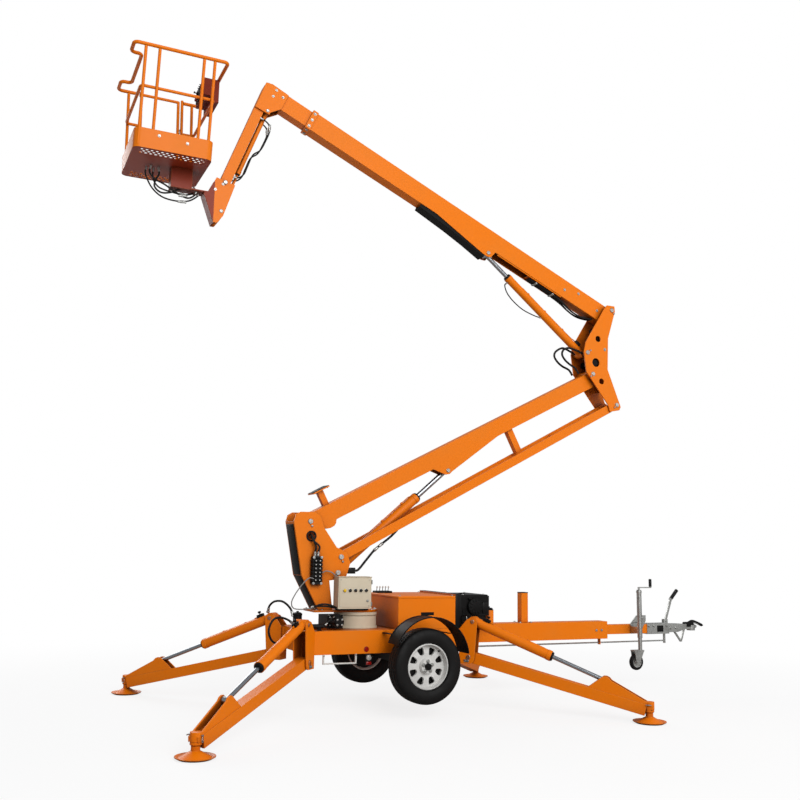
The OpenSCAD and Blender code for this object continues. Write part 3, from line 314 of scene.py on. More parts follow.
def rubber(name, colour, dusty, grain_mm=4.0):
    """Moulded rubber, matt and clouded. Its skin has a grain under 1 mm, drawn coarser so that it shows."""
    material, tree, place = new_material(name)
    dust = add_range(tree, add_noise(tree, place, BLOOM_MM, 8.0, 0.65), 0.45, 0.78)
    bump = add_node(tree, "ShaderNodeBump", {"Strength": 0.25, "Distance": 0.0004,
                                             "Height": add_noise(tree, place, grain_mm, 3.0)})
    return close_material(material, {
        "Base Color": add_mix(tree, dust, linear(colour), linear(dusty)), "Normal": bump.outputs[0],
        "Roughness": add_range(tree, dust, 0.0, 1.0, 0.55, 0.85), "IOR": 1.52, "Specular IOR Level": 0.2})


# Natural rubber: the blackest thing on the machine, with hardly any shine. Grain drawn 4 mm
tyre_rubber = rubber("natural_rubber", "#080707", "#110f0e")


def add_piece(name, shape, material, body, sharp_angle=32):
    """Object from a bmesh, smooth except at edges sharper than the angle, riding on a body."""
    bmesh.ops.recalc_face_normals(shape, faces=shape.faces)
    mesh = bpy.data.meshes.new(name)
    shape.to_mesh(mesh)
    shape.free()
    mesh.materials.append(material)
    mesh.shade_smooth()
    mesh.set_sharp_from_angle(angle=math.radians(sharp_angle))
    piece = bpy.data.objects.new(name, mesh)
    bpy.context.scene.collection.objects.link(piece)
    if isinstance(body, str):
        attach(piece, body)
    else:
        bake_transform(piece)
    return piece


def skin_rings(shape, rings, closed=False):
    """Faces between rings of vertices; a ring of one vertex is a point."""
    for low, high in list(zip(rings, rings[1:])) + ([(rings[-1], rings[0])] if closed else []):
        for k in range(max(len(low), len(high))):
            corners = [low[k % len(low)], low[(k + 1) % len(low)], high[(k + 1) % len(high)], high[k % len(high)]]
            shape.faces.new(list(dict.fromkeys(corners)))


def add_turned(shape, profile, start, along, sides, place=Matrix(), closed=False):
    """Turn pairs of radius and distance about the line from start towards along."""
    start = place @ Vector(start)
    axis = (place.to_3x3() @ Vector(along)).normalized()
    side = axis.orthogonal().normalized()
    up = axis.cross(side)
    rings = []
    for radius, distance in profile:
        turns = [2 * math.pi * k / sides for k in range(sides if radius > 0 else 1)]
        rings.append([shape.verts.new(start + axis * distance + (side * math.cos(a) + up * math.sin(a)) * radius)
                      for a in turns])
    skin_rings(shape, rings, closed)


def add_bolt(shape, start, along, flats, place=Matrix()):
    """Hexagon head, flats across, on a plain washer."""
    washer, corner, height = flats * 0.95, flats / 1.732, flats * 0.62
    add_turned(shape, [(0, -0.001), (washer, -0.001), (washer, 0.0025), (0, 0.0025)], start, along, 20, place)
    add_turned(shape, [(0, 0), (corner, 0), (corner, height * 0.85), (corner * 0.84, height), (0, height)],
               start, along, 6, place)


# Half of the tyre's section, as pairs of radius and distance from its middle
side_profile = [(0.205, 0.074), (0.217, 0.090), (0.240, 0.097), (0.262, 0.0995), (0.285, 0.099),
                (0.303, 0.095), (0.316, 0.090), (0.326, 0.0845)]
tread_profile = [(0.3315, 0.078), (0.3352, 0.070), (0.3365, 0.062), (0.3375, 0.0545), (0.3375, 0.0525),
                 (0.3377, 0.0455), (0.3377, 0.0435), (0.3385, 0.034), (0.339, 0.022), (0.3393, 0.0062),
                 (0.3393, 0.0042)]
tyre_profile = side_profile + tread_profile
tyre_profile = tyre_profile + [(r, -y) for r, y in reversed(tyre_profile)]
GROOVES = ((0.0435, 0.0545), (0.0, 0.0062))     # from and to, out from the middle of the tread


def tyre_shape(side):
    """One ring of vertices for each step round the tread, cut in at the grooves and sipes."""
    shape = bmesh.new()
    steps = SIPES * STEPS_PER_SIPE
    groove_walls = {y for groove in GROOVES for y in groove}
    rings = []
    for i in range(steps):
        angle = 2 * math.pi * i / steps
        ring = []
        for r, y in tyre_profile:
            if r > TREAD_FOOT:
                grooved = any(low - 0.0001 < abs(y) < high + 0.0001 for low, high in GROOVES)
                sipe = i % STEPS_PER_SIPE == 0 and abs(y) > 0.008
                r -= TREAD_DEPTH if grooved and abs(y) not in groove_walls else 0
                r -= SIPE_DEPTH if sipe and not grooved else 0
            ring.append(shape.verts.new(AXLE + Vector((r * math.cos(angle), side * TRACK / 2 + y,
                                                       r * math.sin(angle)))))
        rings.append(ring)
    skin_rings(shape, rings, closed=True)
    return shape


for side, name in ((1, "left"), (-1, "right")):
    tyre = add_piece("tyre_tread_" + name, tyre_shape(side), tyre_rubber, "wheel_" + name, 25)
    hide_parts("tyre_" + name)
    outward = (0, side, 0)
    hub = AXLE + Vector((0, side * (TRACK / 2 + HUB_FACE), 0))
    nuts = bmesh.new()
    for k in range(5):
        angle = math.radians(72 * k + 18)
        add_bolt(nuts, hub + NUT_CIRCLE * Vector((math.cos(angle), 0, math.sin(angle))), outward, 0.019)
    add_piece("wheel_nuts_" + name, nuts, bright_zinc, "wheel_" + name)
    drum = bmesh.new()
    add_turned(drum, [(0.030, -0.070), (0.168, -0.070), (0.176, -0.064), (0.176, -0.024), (0.168, -0.018),
                      (0.060, -0.014), (0.058, -0.0062), (0.030, -0.0062)],
               AXLE + Vector((0, side * TRACK / 2, 0)), outward, 48, closed=True)
    add_piece("brake_drum_" + name, drum, satin_black, "wheel_" + name)
    cap = bmesh.new()
    add_turned(cap, [(0, 0), (0.031, 0), (0.032, 0.004), (0.029, 0.005), (0.028, 0.026), (0.022, 0.032), (0, 0.033)],
               hub, outward, 28)
    # The tyre's valve, in its rubber stem
    add_turned(cap, [(0, 0), (0.005, 0), (0.004, 0.030), (0.0055, 0.031), (0.0055, 0.042), (0, 0.043)],
               hub + Vector((0.121, -side * 0.052, 0.121)), (0.5, side, 0.5), 10)
    add_piece("dust_cap_" + name, cap, moulded_black, "wheel_" + name)

# --- Outriggers --------------------------------------------------------------------------
# Four folding legs stand on steel feet. A ram lifts each one; its barrel carries a lock valve and a
# feed pipe. Hinge and ram turn on plated pins held by keeper plates, and a T-pin locks the foot.
BRACKET_FACE = 0.068         # outer face of the bracket cheeks, across the leg
LEG_HEADING = 44.3           # degrees out from straight ahead
FOOT_PIN = Vector((1.690, 0, 0.165))    # out from the leg's hinge, and up from the ground


def pivot(joint):
    """Where a joint of the record turns or slides."""
    found = [entry for entry in frame["record"]["behaviour"]["joints"] if entry["name"] == joint]
    return Vector(found[0]["pos_m"])


def turned_frame(origin, slope, heading=0.0):
    """Frame whose +X runs along a member: heading about +Z, then the slope up."""
    return (Matrix.Translation(origin) @ Matrix.Rotation(math.radians(heading), 4, "Z")
            @ Matrix.Rotation(math.radians(-slope), 4, "Y"))


def ram_frame(barrel_pin, rod_pin, heading=0.0):
    """Frame along a ram, from the pin in its barrel's eye towards the pin in its rod's eye."""
    run = pivot(rod_pin) - pivot(barrel_pin)
    return turned_frame(pivot(barrel_pin), math.degrees(math.atan2(run.z, math.hypot(run.x, run.y))), heading)


def add_block(shape, low, high, place=Matrix(), bevel=0.002, segments=2):
    """Block between two corners, with rounded edges."""
    low, high = Vector(low), Vector(high)
    made = bmesh.ops.create_cube(shape, size=1.0, matrix=place @ Matrix.Translation((low + high) / 2)
                                 @ Matrix.Diagonal((*(high - low), 1)))
    if bevel:
        edges = list(dict.fromkeys(edge for vert in made["verts"] for edge in vert.link_edges))     # each one once
        bmesh.ops.bevel(shape, geom=edges, offset=bevel, segments=segments, profile=0.5, affect="EDGES")


def add_pin(shape, centre, along, radius, proud, place):
    """End of a pin standing out of a plate: chamfered, with a retaining ring round it."""
    add_turned(shape, [(0, -0.004), (radius, -0.004), (radius, proud - 0.002), (radius - 0.002, proud),
                       (0.004, proud), (0.0025, proud - 0.002), (0, proud - 0.002)], centre, along, 28, place)
    add_turned(shape, [(radius - 0.001, 0.002), (radius + 0.003, 0.002), (radius + 0.003, 0.0045),
                       (radius - 0.001, 0.0045)], centre, along, 28, place, closed=True)


def add_cross_pin(shape, centre, face, radius, proud, place=Matrix()):
    """Both ends of a pin through two plates whose outer faces stand this far from the centre."""
    for side in (1, -1):
        add_pin(shape, Vector(centre) + Vector((0, side * face, 0)), (0, side, 0), radius, proud, place)


def add_cross_bolts(shape, centres, face, flats, place=Matrix()):
    """Bolts in both outer faces of a box or a pair of plates."""
    for centre in centres:
        for side in (1, -1):
            add_bolt(shape, Vector(centre) + Vector((0, side * face, 0)), (0, side, 0), flats, place)


def smooth_path(points, steps=8):
    """Even curve through the points."""
    points = [Vector(p) for p in points]
    ends = [points[0] * 2 - points[1]] + points + [points[-1] * 2 - points[-2]]
    path = []
    for a, b, c, d in zip(ends, ends[1:], ends[2:], ends[3:]):
        for k in range(steps):
            t = k / steps
            path.append(0.5 * (2 * b + (c - a) * t + (2 * a - 5 * b + 4 * c - d) * t ** 2
                               + (3 * b - a - 3 * c + d) * t ** 3))
    return path + [points[-1]]


def add_tube(shape, points, radius, sides, place=Matrix(), steps=8):
    """Round bar or hose with closed ends along a smooth path."""
    path = [place @ p for p in smooth_path(points, steps)]
    side = (path[1] - path[0]).orthogonal().normalized()
    rings = [[shape.verts.new(path[0])]]
    for i, p in enumerate(path):
        ahead = (path[min(i + 1, len(path) - 1)] - path[max(i - 1, 0)]).normalized()
        side = (side - ahead * side.dot(ahead)).normalized()
        up = ahead.cross(side)
        rings.append([shape.verts.new(p + (side * math.cos(a) + up * math.sin(a)) * radius)
                      for a in (2 * math.pi * k / sides for k in range(sides))])
    skin_rings(shape, rings + [[shape.verts.new(path[-1])]])


def add_fitting(shape, start, along, radius, place=Matrix()):
    """Crimped ferrule and swivel nut at a hose end, starting at the port."""
    add_turned(shape, [(0, 0), (radius * 1.5, 0), (radius * 1.65, 0.002), (radius * 1.65, radius * 1.7),
                       (radius * 1.5, radius * 1.9), (0, radius * 1.9)], start, along, 6, place)
    add_turned(shape, [(0, radius * 1.8), (radius * 1.32, radius * 1.8), (radius * 1.32, radius * 4.6),
                       (radius * 1.12, radius * 4.9), (0, radius * 4.9)], start, along, 14, place)


def add_hose(name, points, body, radius, place=Matrix(), ends=(True, True)):
    """Braided rubber hose along a path, with plated fittings at its ends."""
    hose, fittings = bmesh.new(), bmesh.new()
    path = [Vector(p) for p in points]
    add_tube(hose, path, radius, 12, place)
    curve = smooth_path(path)
    if ends[0]:
        add_fitting(fittings, curve[0], curve[2] - curve[0], radius, place)
    if ends[1]:
        add_fitting(fittings, curve[-1], curve[-3] - curve[-1], radius, place)
    add_piece(name, hose, hose_rubber, body, 60)
    if any(ends):
        add_piece(name + "_fittings", fittings, bright_zinc, body)
    else:
        fittings.free()


# Hose cover: rubber cured under a wrapped cloth, greyer than the tyres. Its cloth mark drawn 2 mm
hose_rubber = rubber("braided_hose_cover", "#161515", "#2a2826", grain_mm=2.0)


def add_gland(shape, ram, mouth, bore, body, nose, shoulder, length, sides=36):
    """Gland nut screwed into the mouth of a ram's barrel, closing round the rod."""
    add_turned(shape, [(bore, -0.001), (body, -0.001), (body, shoulder), (nose, length), (bore, length)],
               (mouth, 0, 0), (1, 0, 0), sides, ram, True)


def add_ram_pipe(shape, ram, route, radius, clips, half, low, high):
    """Steel feed pipe along the top of a ram's barrel, under welded clips.

    The route is in distances along the ram and up from its axis, and half is half a clip's length."""
    add_tube(shape, [(along, 0, up) for along, up in route], radius, 10, ram)
    for along in clips:
        add_block(shape, (along - half, 0.001 - half, low), (along + half, half - 0.001, high), ram, 0.002)


for corner in CORNERS:
    side = 1 if corner.endswith("left") else -1
    hinge = pivot("outrigger_lift_" + corner)
    heading = side * LEG_HEADING if corner.startswith("front") else 180 - side * LEG_HEADING
    post = turned_frame((hinge.x, hinge.y, 0), 0, heading)
    ram = ram_frame("outrigger_cylinder_swing_" + corner, "outrigger_cylinder_stroke_" + corner, heading)
    pins = bmesh.new()
    add_cross_pin(pins, (0, 0, hinge.z), BRACKET_FACE, 0.020, 0.008, post)
    add_cross_pin(pins, (0.040, 0, ram.translation.z), BRACKET_FACE, 0.016, 0.008, post)
    for across in (1, -1):
        add_block(pins, (-0.042, across * (BRACKET_FACE + 0.003) - 0.003, hinge.z - 0.048),
                  (0.008, across * (BRACKET_FACE + 0.003) + 0.003, hinge.z - 0.024), post, 0.001)
    add_cross_bolts(pins, [(-0.030, 0, hinge.z - 0.036)], BRACKET_FACE + 0.006, 0.010, post)
    add_piece("outrigger_pins_" + corner, pins, bright_zinc, "chassis")
    valve = bmesh.new()
    add_gland(valve, ram, mouth=0.8127, bore=0.0215, body=0.043, nose=0.038, shoulder=0.012, length=0.017, sides=28)
    add_block(valve, (0.085, -0.020, 0.034), (0.155, 0.020, 0.074), ram, 0.003)
    add_turned(valve, [(0, 0), (0.006, 0), (0.006, 0.012), (0.015, 0.013), (0.016, 0.017), (0.016, 0.028),
                       (0.013, 0.031), (0, 0.031)], (0.122, 0, 0.073), (0, 0, 1), 16, ram)
    add_piece("lock_valve_" + corner, valve, satin_black, "outrigger_barrel_" + corner)
    pipe = bmesh.new()
    add_ram_pipe(pipe, ram, ((0.155, 0.052), (0.190, 0.052), (0.215, 0.046), (0.45, 0.045), (0.70, 0.045),
                             (0.735, 0.043), (0.752, 0.030)),
                 radius=0.0045, clips=(0.30, 0.56), half=0.010, low=0.037, high=0.053)
    add_fitting(pipe, (0.154, 0, 0.052), (1, 0, 0), 0.0055, ram)
    add_piece("ram_pipe_" + corner, pipe, orange_enamel, "outrigger_barrel_" + corner)
    lock = bmesh.new()      # pin through the leg, its T-handle and its spring clip
    for bar, thickness, sides in (
            (((0, -0.062, 0), (0, 0, 0), (0, 0.062, 0)), 0.0065, 12),
            (((-0.026, -0.064, 0), (0, -0.066, 0), (0.026, -0.064, 0)), 0.0045, 10),
            (((0, 0.055, 0), (0.007, 0.057, -0.015), (0.012, 0.058, -0.037), (0.004, 0.058, -0.049),
              (-0.006, 0.058, -0.037), (-0.003, 0.057, -0.015)), 0.0022, 8)):
        add_tube(lock, [FOOT_PIN + Vector(p) for p in bar], thickness, sides, post)
    add_piece("foot_pin_" + corner, lock, bright_zinc, "outrigger_leg_" + corner)

# --- Rear of the chassis -----------------------------------------------------------------
# Rubber hoses leave a black enamelled steel manifold on the rear beam, arch to the left bracket and
# hang down behind the beam. A hand pump for lowering in an emergency is bolted along the right side
# beam, and the moulded mudguards have a round bead along each lip.
MANIFOLD = Vector((-0.565, 0.080, 0.767))

manifold = bmesh.new()
add_turned(manifold, [(0, 0), (0.052, 0), (0.052, 0.014), (0.043, 0.016), (0.043, 0.112), (0.046, 0.114),
                      (0.046, 0.128), (0.030, 0.140), (0.012, 0.142), (0.012, 0.152), (0, 0.153)],
           MANIFOLD, (0, 0, 1), 28)
add_block(manifold, MANIFOLD + Vector((-0.058, -0.150, 0.0)), MANIFOLD + Vector((0.040, -0.050, 0.070)), bevel=0.003)
add_piece("emergency_manifold", manifold, satin_black, "chassis")
add_hose("arch_hose", [(-0.600, 0.100, 0.870), (-0.628, 0.130, 0.948), (-0.668, 0.240, 1.000), (-0.712, 0.360, 0.994),
                       (-0.738, 0.440, 0.945), (-0.742, 0.468, 0.880)],
         ("chassis", "outrigger_barrel_rear_left", (-0.690, 0.300, 0.997), (-0.740, 0.455, 0.915)), radius=0.0105)
add_hose("rear_loop_hose", [(-0.620, 0.010, 0.800), (-0.700, -0.010, 0.850), (-0.800, -0.060, 0.872),
                            (-0.872, -0.100, 0.842), (-0.905, -0.112, 0.755), (-0.868, -0.095, 0.668),
                            (-0.790, -0.060, 0.630), (-0.712, -0.030, 0.632)], "chassis", radius=0.0105)
PUMP = Vector((-0.600, -0.330, 0.806))
pump = bmesh.new()
add_turned(pump, [(0, 0), (0.020, 0), (0.022, 0.003), (0.022, 0.120), (0.018, 0.124), (0.018, 0.150),
                  (0.008, 0.153), (0.008, 0.178), (0, 0.180)], PUMP, (1, 0, 0), 20)
add_block(pump, PUMP + Vector((0.012, -0.018, -0.040)), PUMP + Vector((0.040, 0.018, 0.004)), bevel=0.002)
add_block(pump, PUMP + Vector((0.095, -0.018, -0.040)), PUMP + Vector((0.123, 0.018, 0.004)), bevel=0.002)
add_piece("hand_pump", pump, satin_black, "chassis")
add_hose("pump_hose", [(-0.430, -0.330, 0.815), (-0.395, -0.322, 0.850), (-0.350, -0.285, 0.872),
                       (-0.310, -0.238, 0.885)], "chassis", radius=0.006)
GUARD = Vector((0.425, 0.0, 0.532))     # the mudguards' arc is turned about here
GUARD_RADIUS = 0.3785
guards = bmesh.new()
for side in (1, -1):
    for lip in (0.626, 0.846):
        arc = [GUARD + Vector((GUARD_RADIUS * math.cos(math.radians(a)), side * lip,
                               GUARD_RADIUS * math.sin(math.radians(a)))) for a in range(8, 158, 6)]
        add_tube(guards, arc, 0.0055, 8, steps=2)
add_piece("mudguard_beads", guards, moulded_black, "chassis")

# --- Lamps -------------------------------------------------------------------------------
# A white lacquered lamp bracket hangs under the right side beam. Beside it are a round marker lamp
# over a red reflector on a black plate, and another red reflector on the beam.
PRISM_MM = 3.85              # cells moulded into the back of a lens
PRISM_SHADE = (0.02, 0.0, 0.0, 1)


def lens(name, colour):
    """Clear-coated acrylic whose moulded cells catch the light in bright points."""
    material, tree, place = new_material(name)
    prism = add_node(tree, "ShaderNodeTexVoronoi", {"Vector": place, "Scale": 1000 / PRISM_MM}).outputs["Distance"]
    bump = add_node(tree, "ShaderNodeBump", {"Strength": 0.5, "Distance": 0.0005, "Height": prism})
    return close_material(material, {
        "Base Color": add_mix(tree, prism, linear(colour), PRISM_SHADE), "Normal": bump.outputs[0], "IOR": 1.49,
        "Roughness": 0.18, "Coat Weight": 0.8, "Coat Roughness": 0.04})


# Red acrylic: deep red, wet-looking, with a net of darker cells
red_lens = lens("red_acrylic_lens", "#c4170f")
# Clear acrylic over a white base: a pale grey disc with the same net
clear_lens = lens("clear_acrylic_lens", "#d8d5ce")
reflectors, marker = bmesh.new(), bmesh.new()
add_turned(reflectors, [(0, 0), (0.024, 0), (0.024, 0.006), (0.021, 0.009), (0, 0.010)], (-0.045, -0.404, 0.597),
           (0, -1, 0), 28)
add_block(reflectors, (-0.046, -0.416, 0.455), (0.006, -0.402, 0.484), bevel=0.005, segments=3)
add_piece("side_reflectors", reflectors, red_lens, "chassis")
add_turned(marker, [(0, 0), (0.026, 0), (0.026, 0.010), (0.021, 0.017), (0.010, 0.020), (0, 0.0205)],
           (-0.020, -0.403, 0.520), (0, -1, 0), 28)
add_piece("marker_lamp", marker, clear_lens, "chassis")
bracket = bmesh.new()      # the plate behind them
add_block(bracket, (-0.050, -0.404, 0.450), (0.010, -0.398, 0.560), bevel=0.002)
add_piece("lamp_bracket", bracket, satin_black, "chassis")
screws = bmesh.new()
for x in (-0.464, -0.146):
    add_bolt(screws, (x, -0.404, 0.548), (0, -1, 0), 0.008)
add_piece("lamp_screws", screws, bright_zinc, "chassis")

# --- Power pack --------------------------------------------------------------------------
# Sheet-steel cabinet over pump and tank, folded and enamelled, with a lift-off lid over a
# pull handle. A louvred black steel grille closes its front end, and the manual valves sit on the lid.
PACK = (Vector((0.280, -0.400, 0.767)), Vector((0.895, 0.400, 1.075)))
GRILLE = (Vector((0.895, -0.398, 0.767)), Vector((0.958, 0.398, 1.095)))

lid = bmesh.new()
add_block(lid, (PACK[0].x - 0.004, PACK[0].y - 0.004, PACK[1].z - 0.018),
          (PACK[1].x - 0.001, PACK[1].y + 0.004, PACK[1].z + 0.003), bevel=0.004, segments=3)
add_piece("pack_lid", lid, orange_enamel, "chassis")
handle = bmesh.new()
add_block(handle, (0.5215, -0.3995, 0.8965), (0.6585, -0.3755, 0.9235), bevel=0)
add_piece("pull_handle", handle, satin_black, "chassis")
grille = bmesh.new()
add_block(grille, GRILLE[0] - Vector((-0.001, 0.003, 0)), GRILLE[1] + Vector((0.002, 0.003, 0.002)), bevel=0.004)
LOUVRES, LOUVRE_PITCH = 10, 0.028
for k in range(LOUVRES):
    add_block(grille, (0.955, -0.340, -0.007), (0.969, 0.340, 0.004),
              Matrix.Translation((0, 0, 0.800 + LOUVRE_PITCH * k)), 0.002)
add_piece("front_grille", grille, satin_black, "chassis")
levers, knobs = bmesh.new(), bmesh.new()
add_block(levers, (0.330, 0.230, 1.074), (0.500, 0.350, 1.098), bevel=0.004)
LEVERS, LEVER_PITCH = 5, 0.032
for k in range(LEVERS):
    x = 0.350 + LEVER_PITCH * k
    add_tube(levers, [(x, 0.290, 1.095), (x + 0.002, 0.290, 1.112), (x + 0.004, 0.290, 1.130)], 0.0035, 8)
    add_turned(knobs, [(0, 0), (0.005, 0), (0.009, 0.006), (0.009, 0.014), (0.005, 0.019), (0, 0.020)],
               (x + 0.004, 0.290, 1.126), (0.1, 0, 1), 14)
add_piece("manual_valves", levers, satin_black, "chassis")
add_piece("valve_knobs", knobs, lamp_white, "chassis")
lid_bolts = bmesh.new()
for x in (0.305, 0.870):
    for y in (-0.375, 0.375):
        add_bolt(lid_bolts, (x, y, PACK[1].z + 0.003), (0, 0, 1), 0.013)
add_piece("lid_bolts", lid_bolts, bright_zinc, "chassis")

# --- Engine ------------------------------------------------------------------------------
# Small air-cooled petrol engine in satin black: pressed tank with a filler cap, a finned cylinder,
# a recoil starter under a slotted cover, and an enamelled filter canister on a pipe.
RECOIL = Vector((1.168, -0.300, 0.968))     # middle of the starter, on the engine's right face
FILTER = (1.390, -0.200)                    # axis of the canister

tank = bmesh.new()
add_block(tank, (1.012, -0.298, 1.030), (1.333, 0.158, 1.084), bevel=0.016, segments=4)
add_turned(tank, [(0, 0), (0.030, 0), (0.032, 0.003), (0.032, 0.010), (0.028, 0.013), (0, 0.014)],
           (1.100, -0.150, 1.083), (0, 0, 1), 24)
FINS, FIN_PITCH = 7, 0.011
for k in range(FINS):
    add_block(tank, (1.030, -0.309, 0.884 + FIN_PITCH * k), (1.085, -0.290, 0.889 + FIN_PITCH * k), bevel=0.001)
add_block(tank, (1.255, -0.312, 0.900), (1.325, -0.295, 1.010), bevel=0.006)
add_piece("engine_tank", tank, satin_black, "chassis")
recoil = bmesh.new()
add_turned(recoil, [(0, 0), (0.082, 0), (0.086, 0.003), (0.086, 0.018), (0.080, 0.026), (0.046, 0.032),
                    (0.034, 0.034), (0, 0.034)], RECOIL, (0, -1, 0), 40)
RIBS = 12       # between the slots of the cover
for k in range(RIBS):
    add_block(recoil, (0.044, -0.0035, 0.028), (0.076, 0.0035, 0.033),
              Matrix.Translation(RECOIL) @ Matrix.Rotation(math.pi / 2, 4, "X")
              @ Matrix.Rotation(2 * math.pi * k / RIBS, 4, "Z"), 0.001)
add_block(recoil, RECOIL + Vector((-0.078, -0.026, 0.068)), RECOIL + Vector((-0.040, -0.004, 0.084)), bevel=0.006,
          segments=3)
add_piece("recoil_starter", recoil, moulded_black, "chassis")
ends = bmesh.new()
add_turned(ends, [(0, 0), (0.040, 0), (0.042, 0.004), (0.042, 0.012), (0.034, 0.018), (0.012, 0.020), (0.012, 0.032),
                  (0, 0.033)], (*FILTER, 0.929), (0, 0, 1), 28)
add_turned(ends, [(0, 0), (0.041, 0), (0.041, 0.002), (0, 0.002)], (*FILTER, 0.790), (0, 0, -1), 28)
add_piece("canister_cap", ends, satin_black, "chassis")
canister = bmesh.new()
add_turned(canister, [(0.0478, 0.002), (0.0495, 0.004), (0.0495, 0.128), (0.0478, 0.134)],
           (*FILTER, 0.792), (0, 0, 1), 32, closed=True)
add_piece("canister_shell", canister, orange_enamel, "chassis")
engine_bolts = bmesh.new()
for x in (1.050, 1.285):
    for y in (-0.270, 0.125):
        add_bolt(engine_bolts, (x, y, 1.084), (0, 0, 1), 0.013)
# The throttle lever beside them
add_tube(engine_bolts, [(1.040, -0.279, 0.798), (1.042, -0.322, 0.803), (1.055, -0.345, 0.835),
                        (1.052, -0.340, 0.878)], 0.004, 8)
add_piece("engine_bolts", engine_bolts, bright_zinc, "chassis")

# --- Drawbar, coupling and jockey wheel --------------------------------------------------
# The drawbar tube is pinned in its box. The overrun coupling is made of zinc-plated castings bolted to
# the tube, with moulded inserts in its slots and a moulded grip. A solid-tyred jockey wheel on a
# pressed rim stands in a clamp.
TUBE_Z = 0.6845              # middle of the tube's height
TUBE_END = 3.620             # where the coupling is bolted on

post_pad = bmesh.new()
add_block(post_pad, (1.883, -0.042, 1.084), (1.967, 0.042, 1.0935), bevel=0.003, segments=3)
add_piece("travel_post_pad", post_pad, tyre_rubber, "chassis")
# The tube's pins, the travel post's bolts, and the coupling's bolts
steel = bmesh.new()
for x in (2.820, 2.890):
    add_cross_pin(steel, (x, 0, TUBE_Z), 0.080, 0.010, 0.008)
for x in (1.860, 1.990):
    for y in (-0.056, 0.056):
        add_bolt(steel, (x, y, 0.777), (0, 0, 1), 0.019)
add_cross_bolts(steel, [(TUBE_END + x, 0, TUBE_Z + 0.030) for x in (-0.055, 0.015, 0.200)], 0.055, 0.019)
add_cross_bolts(steel, [(TUBE_END + x, 0, TUBE_Z) for x in (0.270, 0.345)], 0.042, 0.017)
HANDBRAKE = Vector((TUBE_END + 0.225, 0, TUBE_Z + 0.074))   # the lever's pivot
add_cross_pin(steel, HANDBRAKE, 0.020, 0.008, 0.006)
# The jockey clamp's screw and its cross bar, its bolts, and the collar at the top of the jockey leg
add_tube(steel, [(3.380, -0.062, 0.760), (3.380, -0.130, 0.760), (3.380, -0.205, 0.760)], 0.006, 10)
add_tube(steel, [(3.340, -0.203, 0.760), (3.380, -0.205, 0.760), (3.420, -0.203, 0.760)], 0.005, 10)
for x, z in ((3.330, 0.725), (3.470, 0.800)):
    add_bolt(steel, (x, -0.062, z), (0, -1, 0), 0.017)
add_turned(steel, [(0.0275, 0), (0.031, 0.001), (0.031, 0.018), (0.0275, 0.019)], (3.332, -0.180, 1.088), (0, 0, 1),
           28, closed=True)
add_piece("coupling_bolts", steel, bright_zinc, "chassis")
inserts = bmesh.new()
for side in (1, -1):
    add_block(inserts, (TUBE_END + 0.062, side * 0.0515 - 0.0020, TUBE_Z - 0.037),
              (TUBE_END + 0.149, side * 0.0515 + 0.0020, TUBE_Z + 0.031), bevel=0.001)
add_block(inserts, (4.126, -0.039, TUBE_Z + 0.004), (4.240, 0.039, TUBE_Z + 0.060), bevel=0.012, segments=4)
add_tube(inserts, [(4.190, 0, 0.735), (4.240, 0, 0.752), (4.300, 0, 0.738), (4.386, 0, 0.705)], 0.0165, 14)
add_piece("coupling_grip", inserts, moulded_black, "chassis")
# Dipped vinyl: smoother than rubber, a cold even black. Grain drawn 1.5 mm
vinyl = rubber("dipped_vinyl_grip", "#101011", "#1b1b1c", grain_mm=1.5)
grips = bmesh.new()
LEVER_LEAN, LEVER_ARM, GRIP_LEAN = math.radians(70), 0.264, 47      # the lever bends back where its grip begins
GRIP = turned_frame(HANDBRAKE + LEVER_ARM * Vector((math.cos(LEVER_LEAN), 0, math.sin(LEVER_LEAN))), GRIP_LEAN)
add_block(grips, (0.002, -0.0148, -0.0168), (0.1425, 0.0148, 0.0168), GRIP, 0.007, 4)
FINGER_RIBS, RIB_PITCH = 6, 0.020
for k in range(FINGER_RIBS):
    rib = 0.018 + RIB_PITCH * k
    add_block(grips, (rib, -0.0162, -0.0182), (rib + 0.012, 0.0162, 0.0182), GRIP, 0.006, 3)
add_turned(grips, [(0.0138, 0.004), (0.0165, 0.006), (0.0165, 0.082), (0.012, 0.090), (0, 0.0915)],
           (3.492, -0.180, 1.150), (0, 0, 1), 20)
add_piece("vinyl_grips", grips, vinyl, "chassis")
JOCKEY_HUB = (3.272, -0.180, 0.345)
solid_tyre = bmesh.new()
add_turned(solid_tyre, [(0.057, -0.0225), (0.070, -0.0235), (0.080, -0.020), (0.0862, -0.011), (0.0875, 0.0),
                        (0.0862, 0.011), (0.080, 0.020), (0.070, 0.0235), (0.057, 0.0225)],
           JOCKEY_HUB, (0, 1, 0), 56, closed=True)
jockey_tyre = add_piece("jockey_tyre", solid_tyre, tyre_rubber, "jockey_wheel")
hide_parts("jockey_wheel")
rim = bmesh.new()
add_turned(rim, [(0.0108, -0.024), (0.019, -0.024), (0.020, -0.012), (0.024, -0.008), (0.046, -0.008),
                 (0.050, -0.020), (0.0572, -0.021), (0.0572, 0.021), (0.050, 0.020), (0.046, 0.008),
                 (0.024, 0.008), (0.020, 0.012), (0.019, 0.024), (0.0108, 0.024)],
           JOCKEY_HUB, (0, 1, 0), 40, closed=True)
add_piece("jockey_rim", rim, bright_zinc, "jockey_wheel")

# --- Slewing drum and turret -------------------------------------------------------------
# The turret turns on a grey drum. Its plates carry turned pins for the boom, link and lift ram.
# Twin hoses drop from a hole at the boom's hinge to the stacked valve block and on to the slew motor.
PLATE_FACE = 0.132           # outer faces of the side plates, in the turret and in the knuckle
BASE_TOP = 0.9403
BOLT_CIRCLE = 0.198          # radius


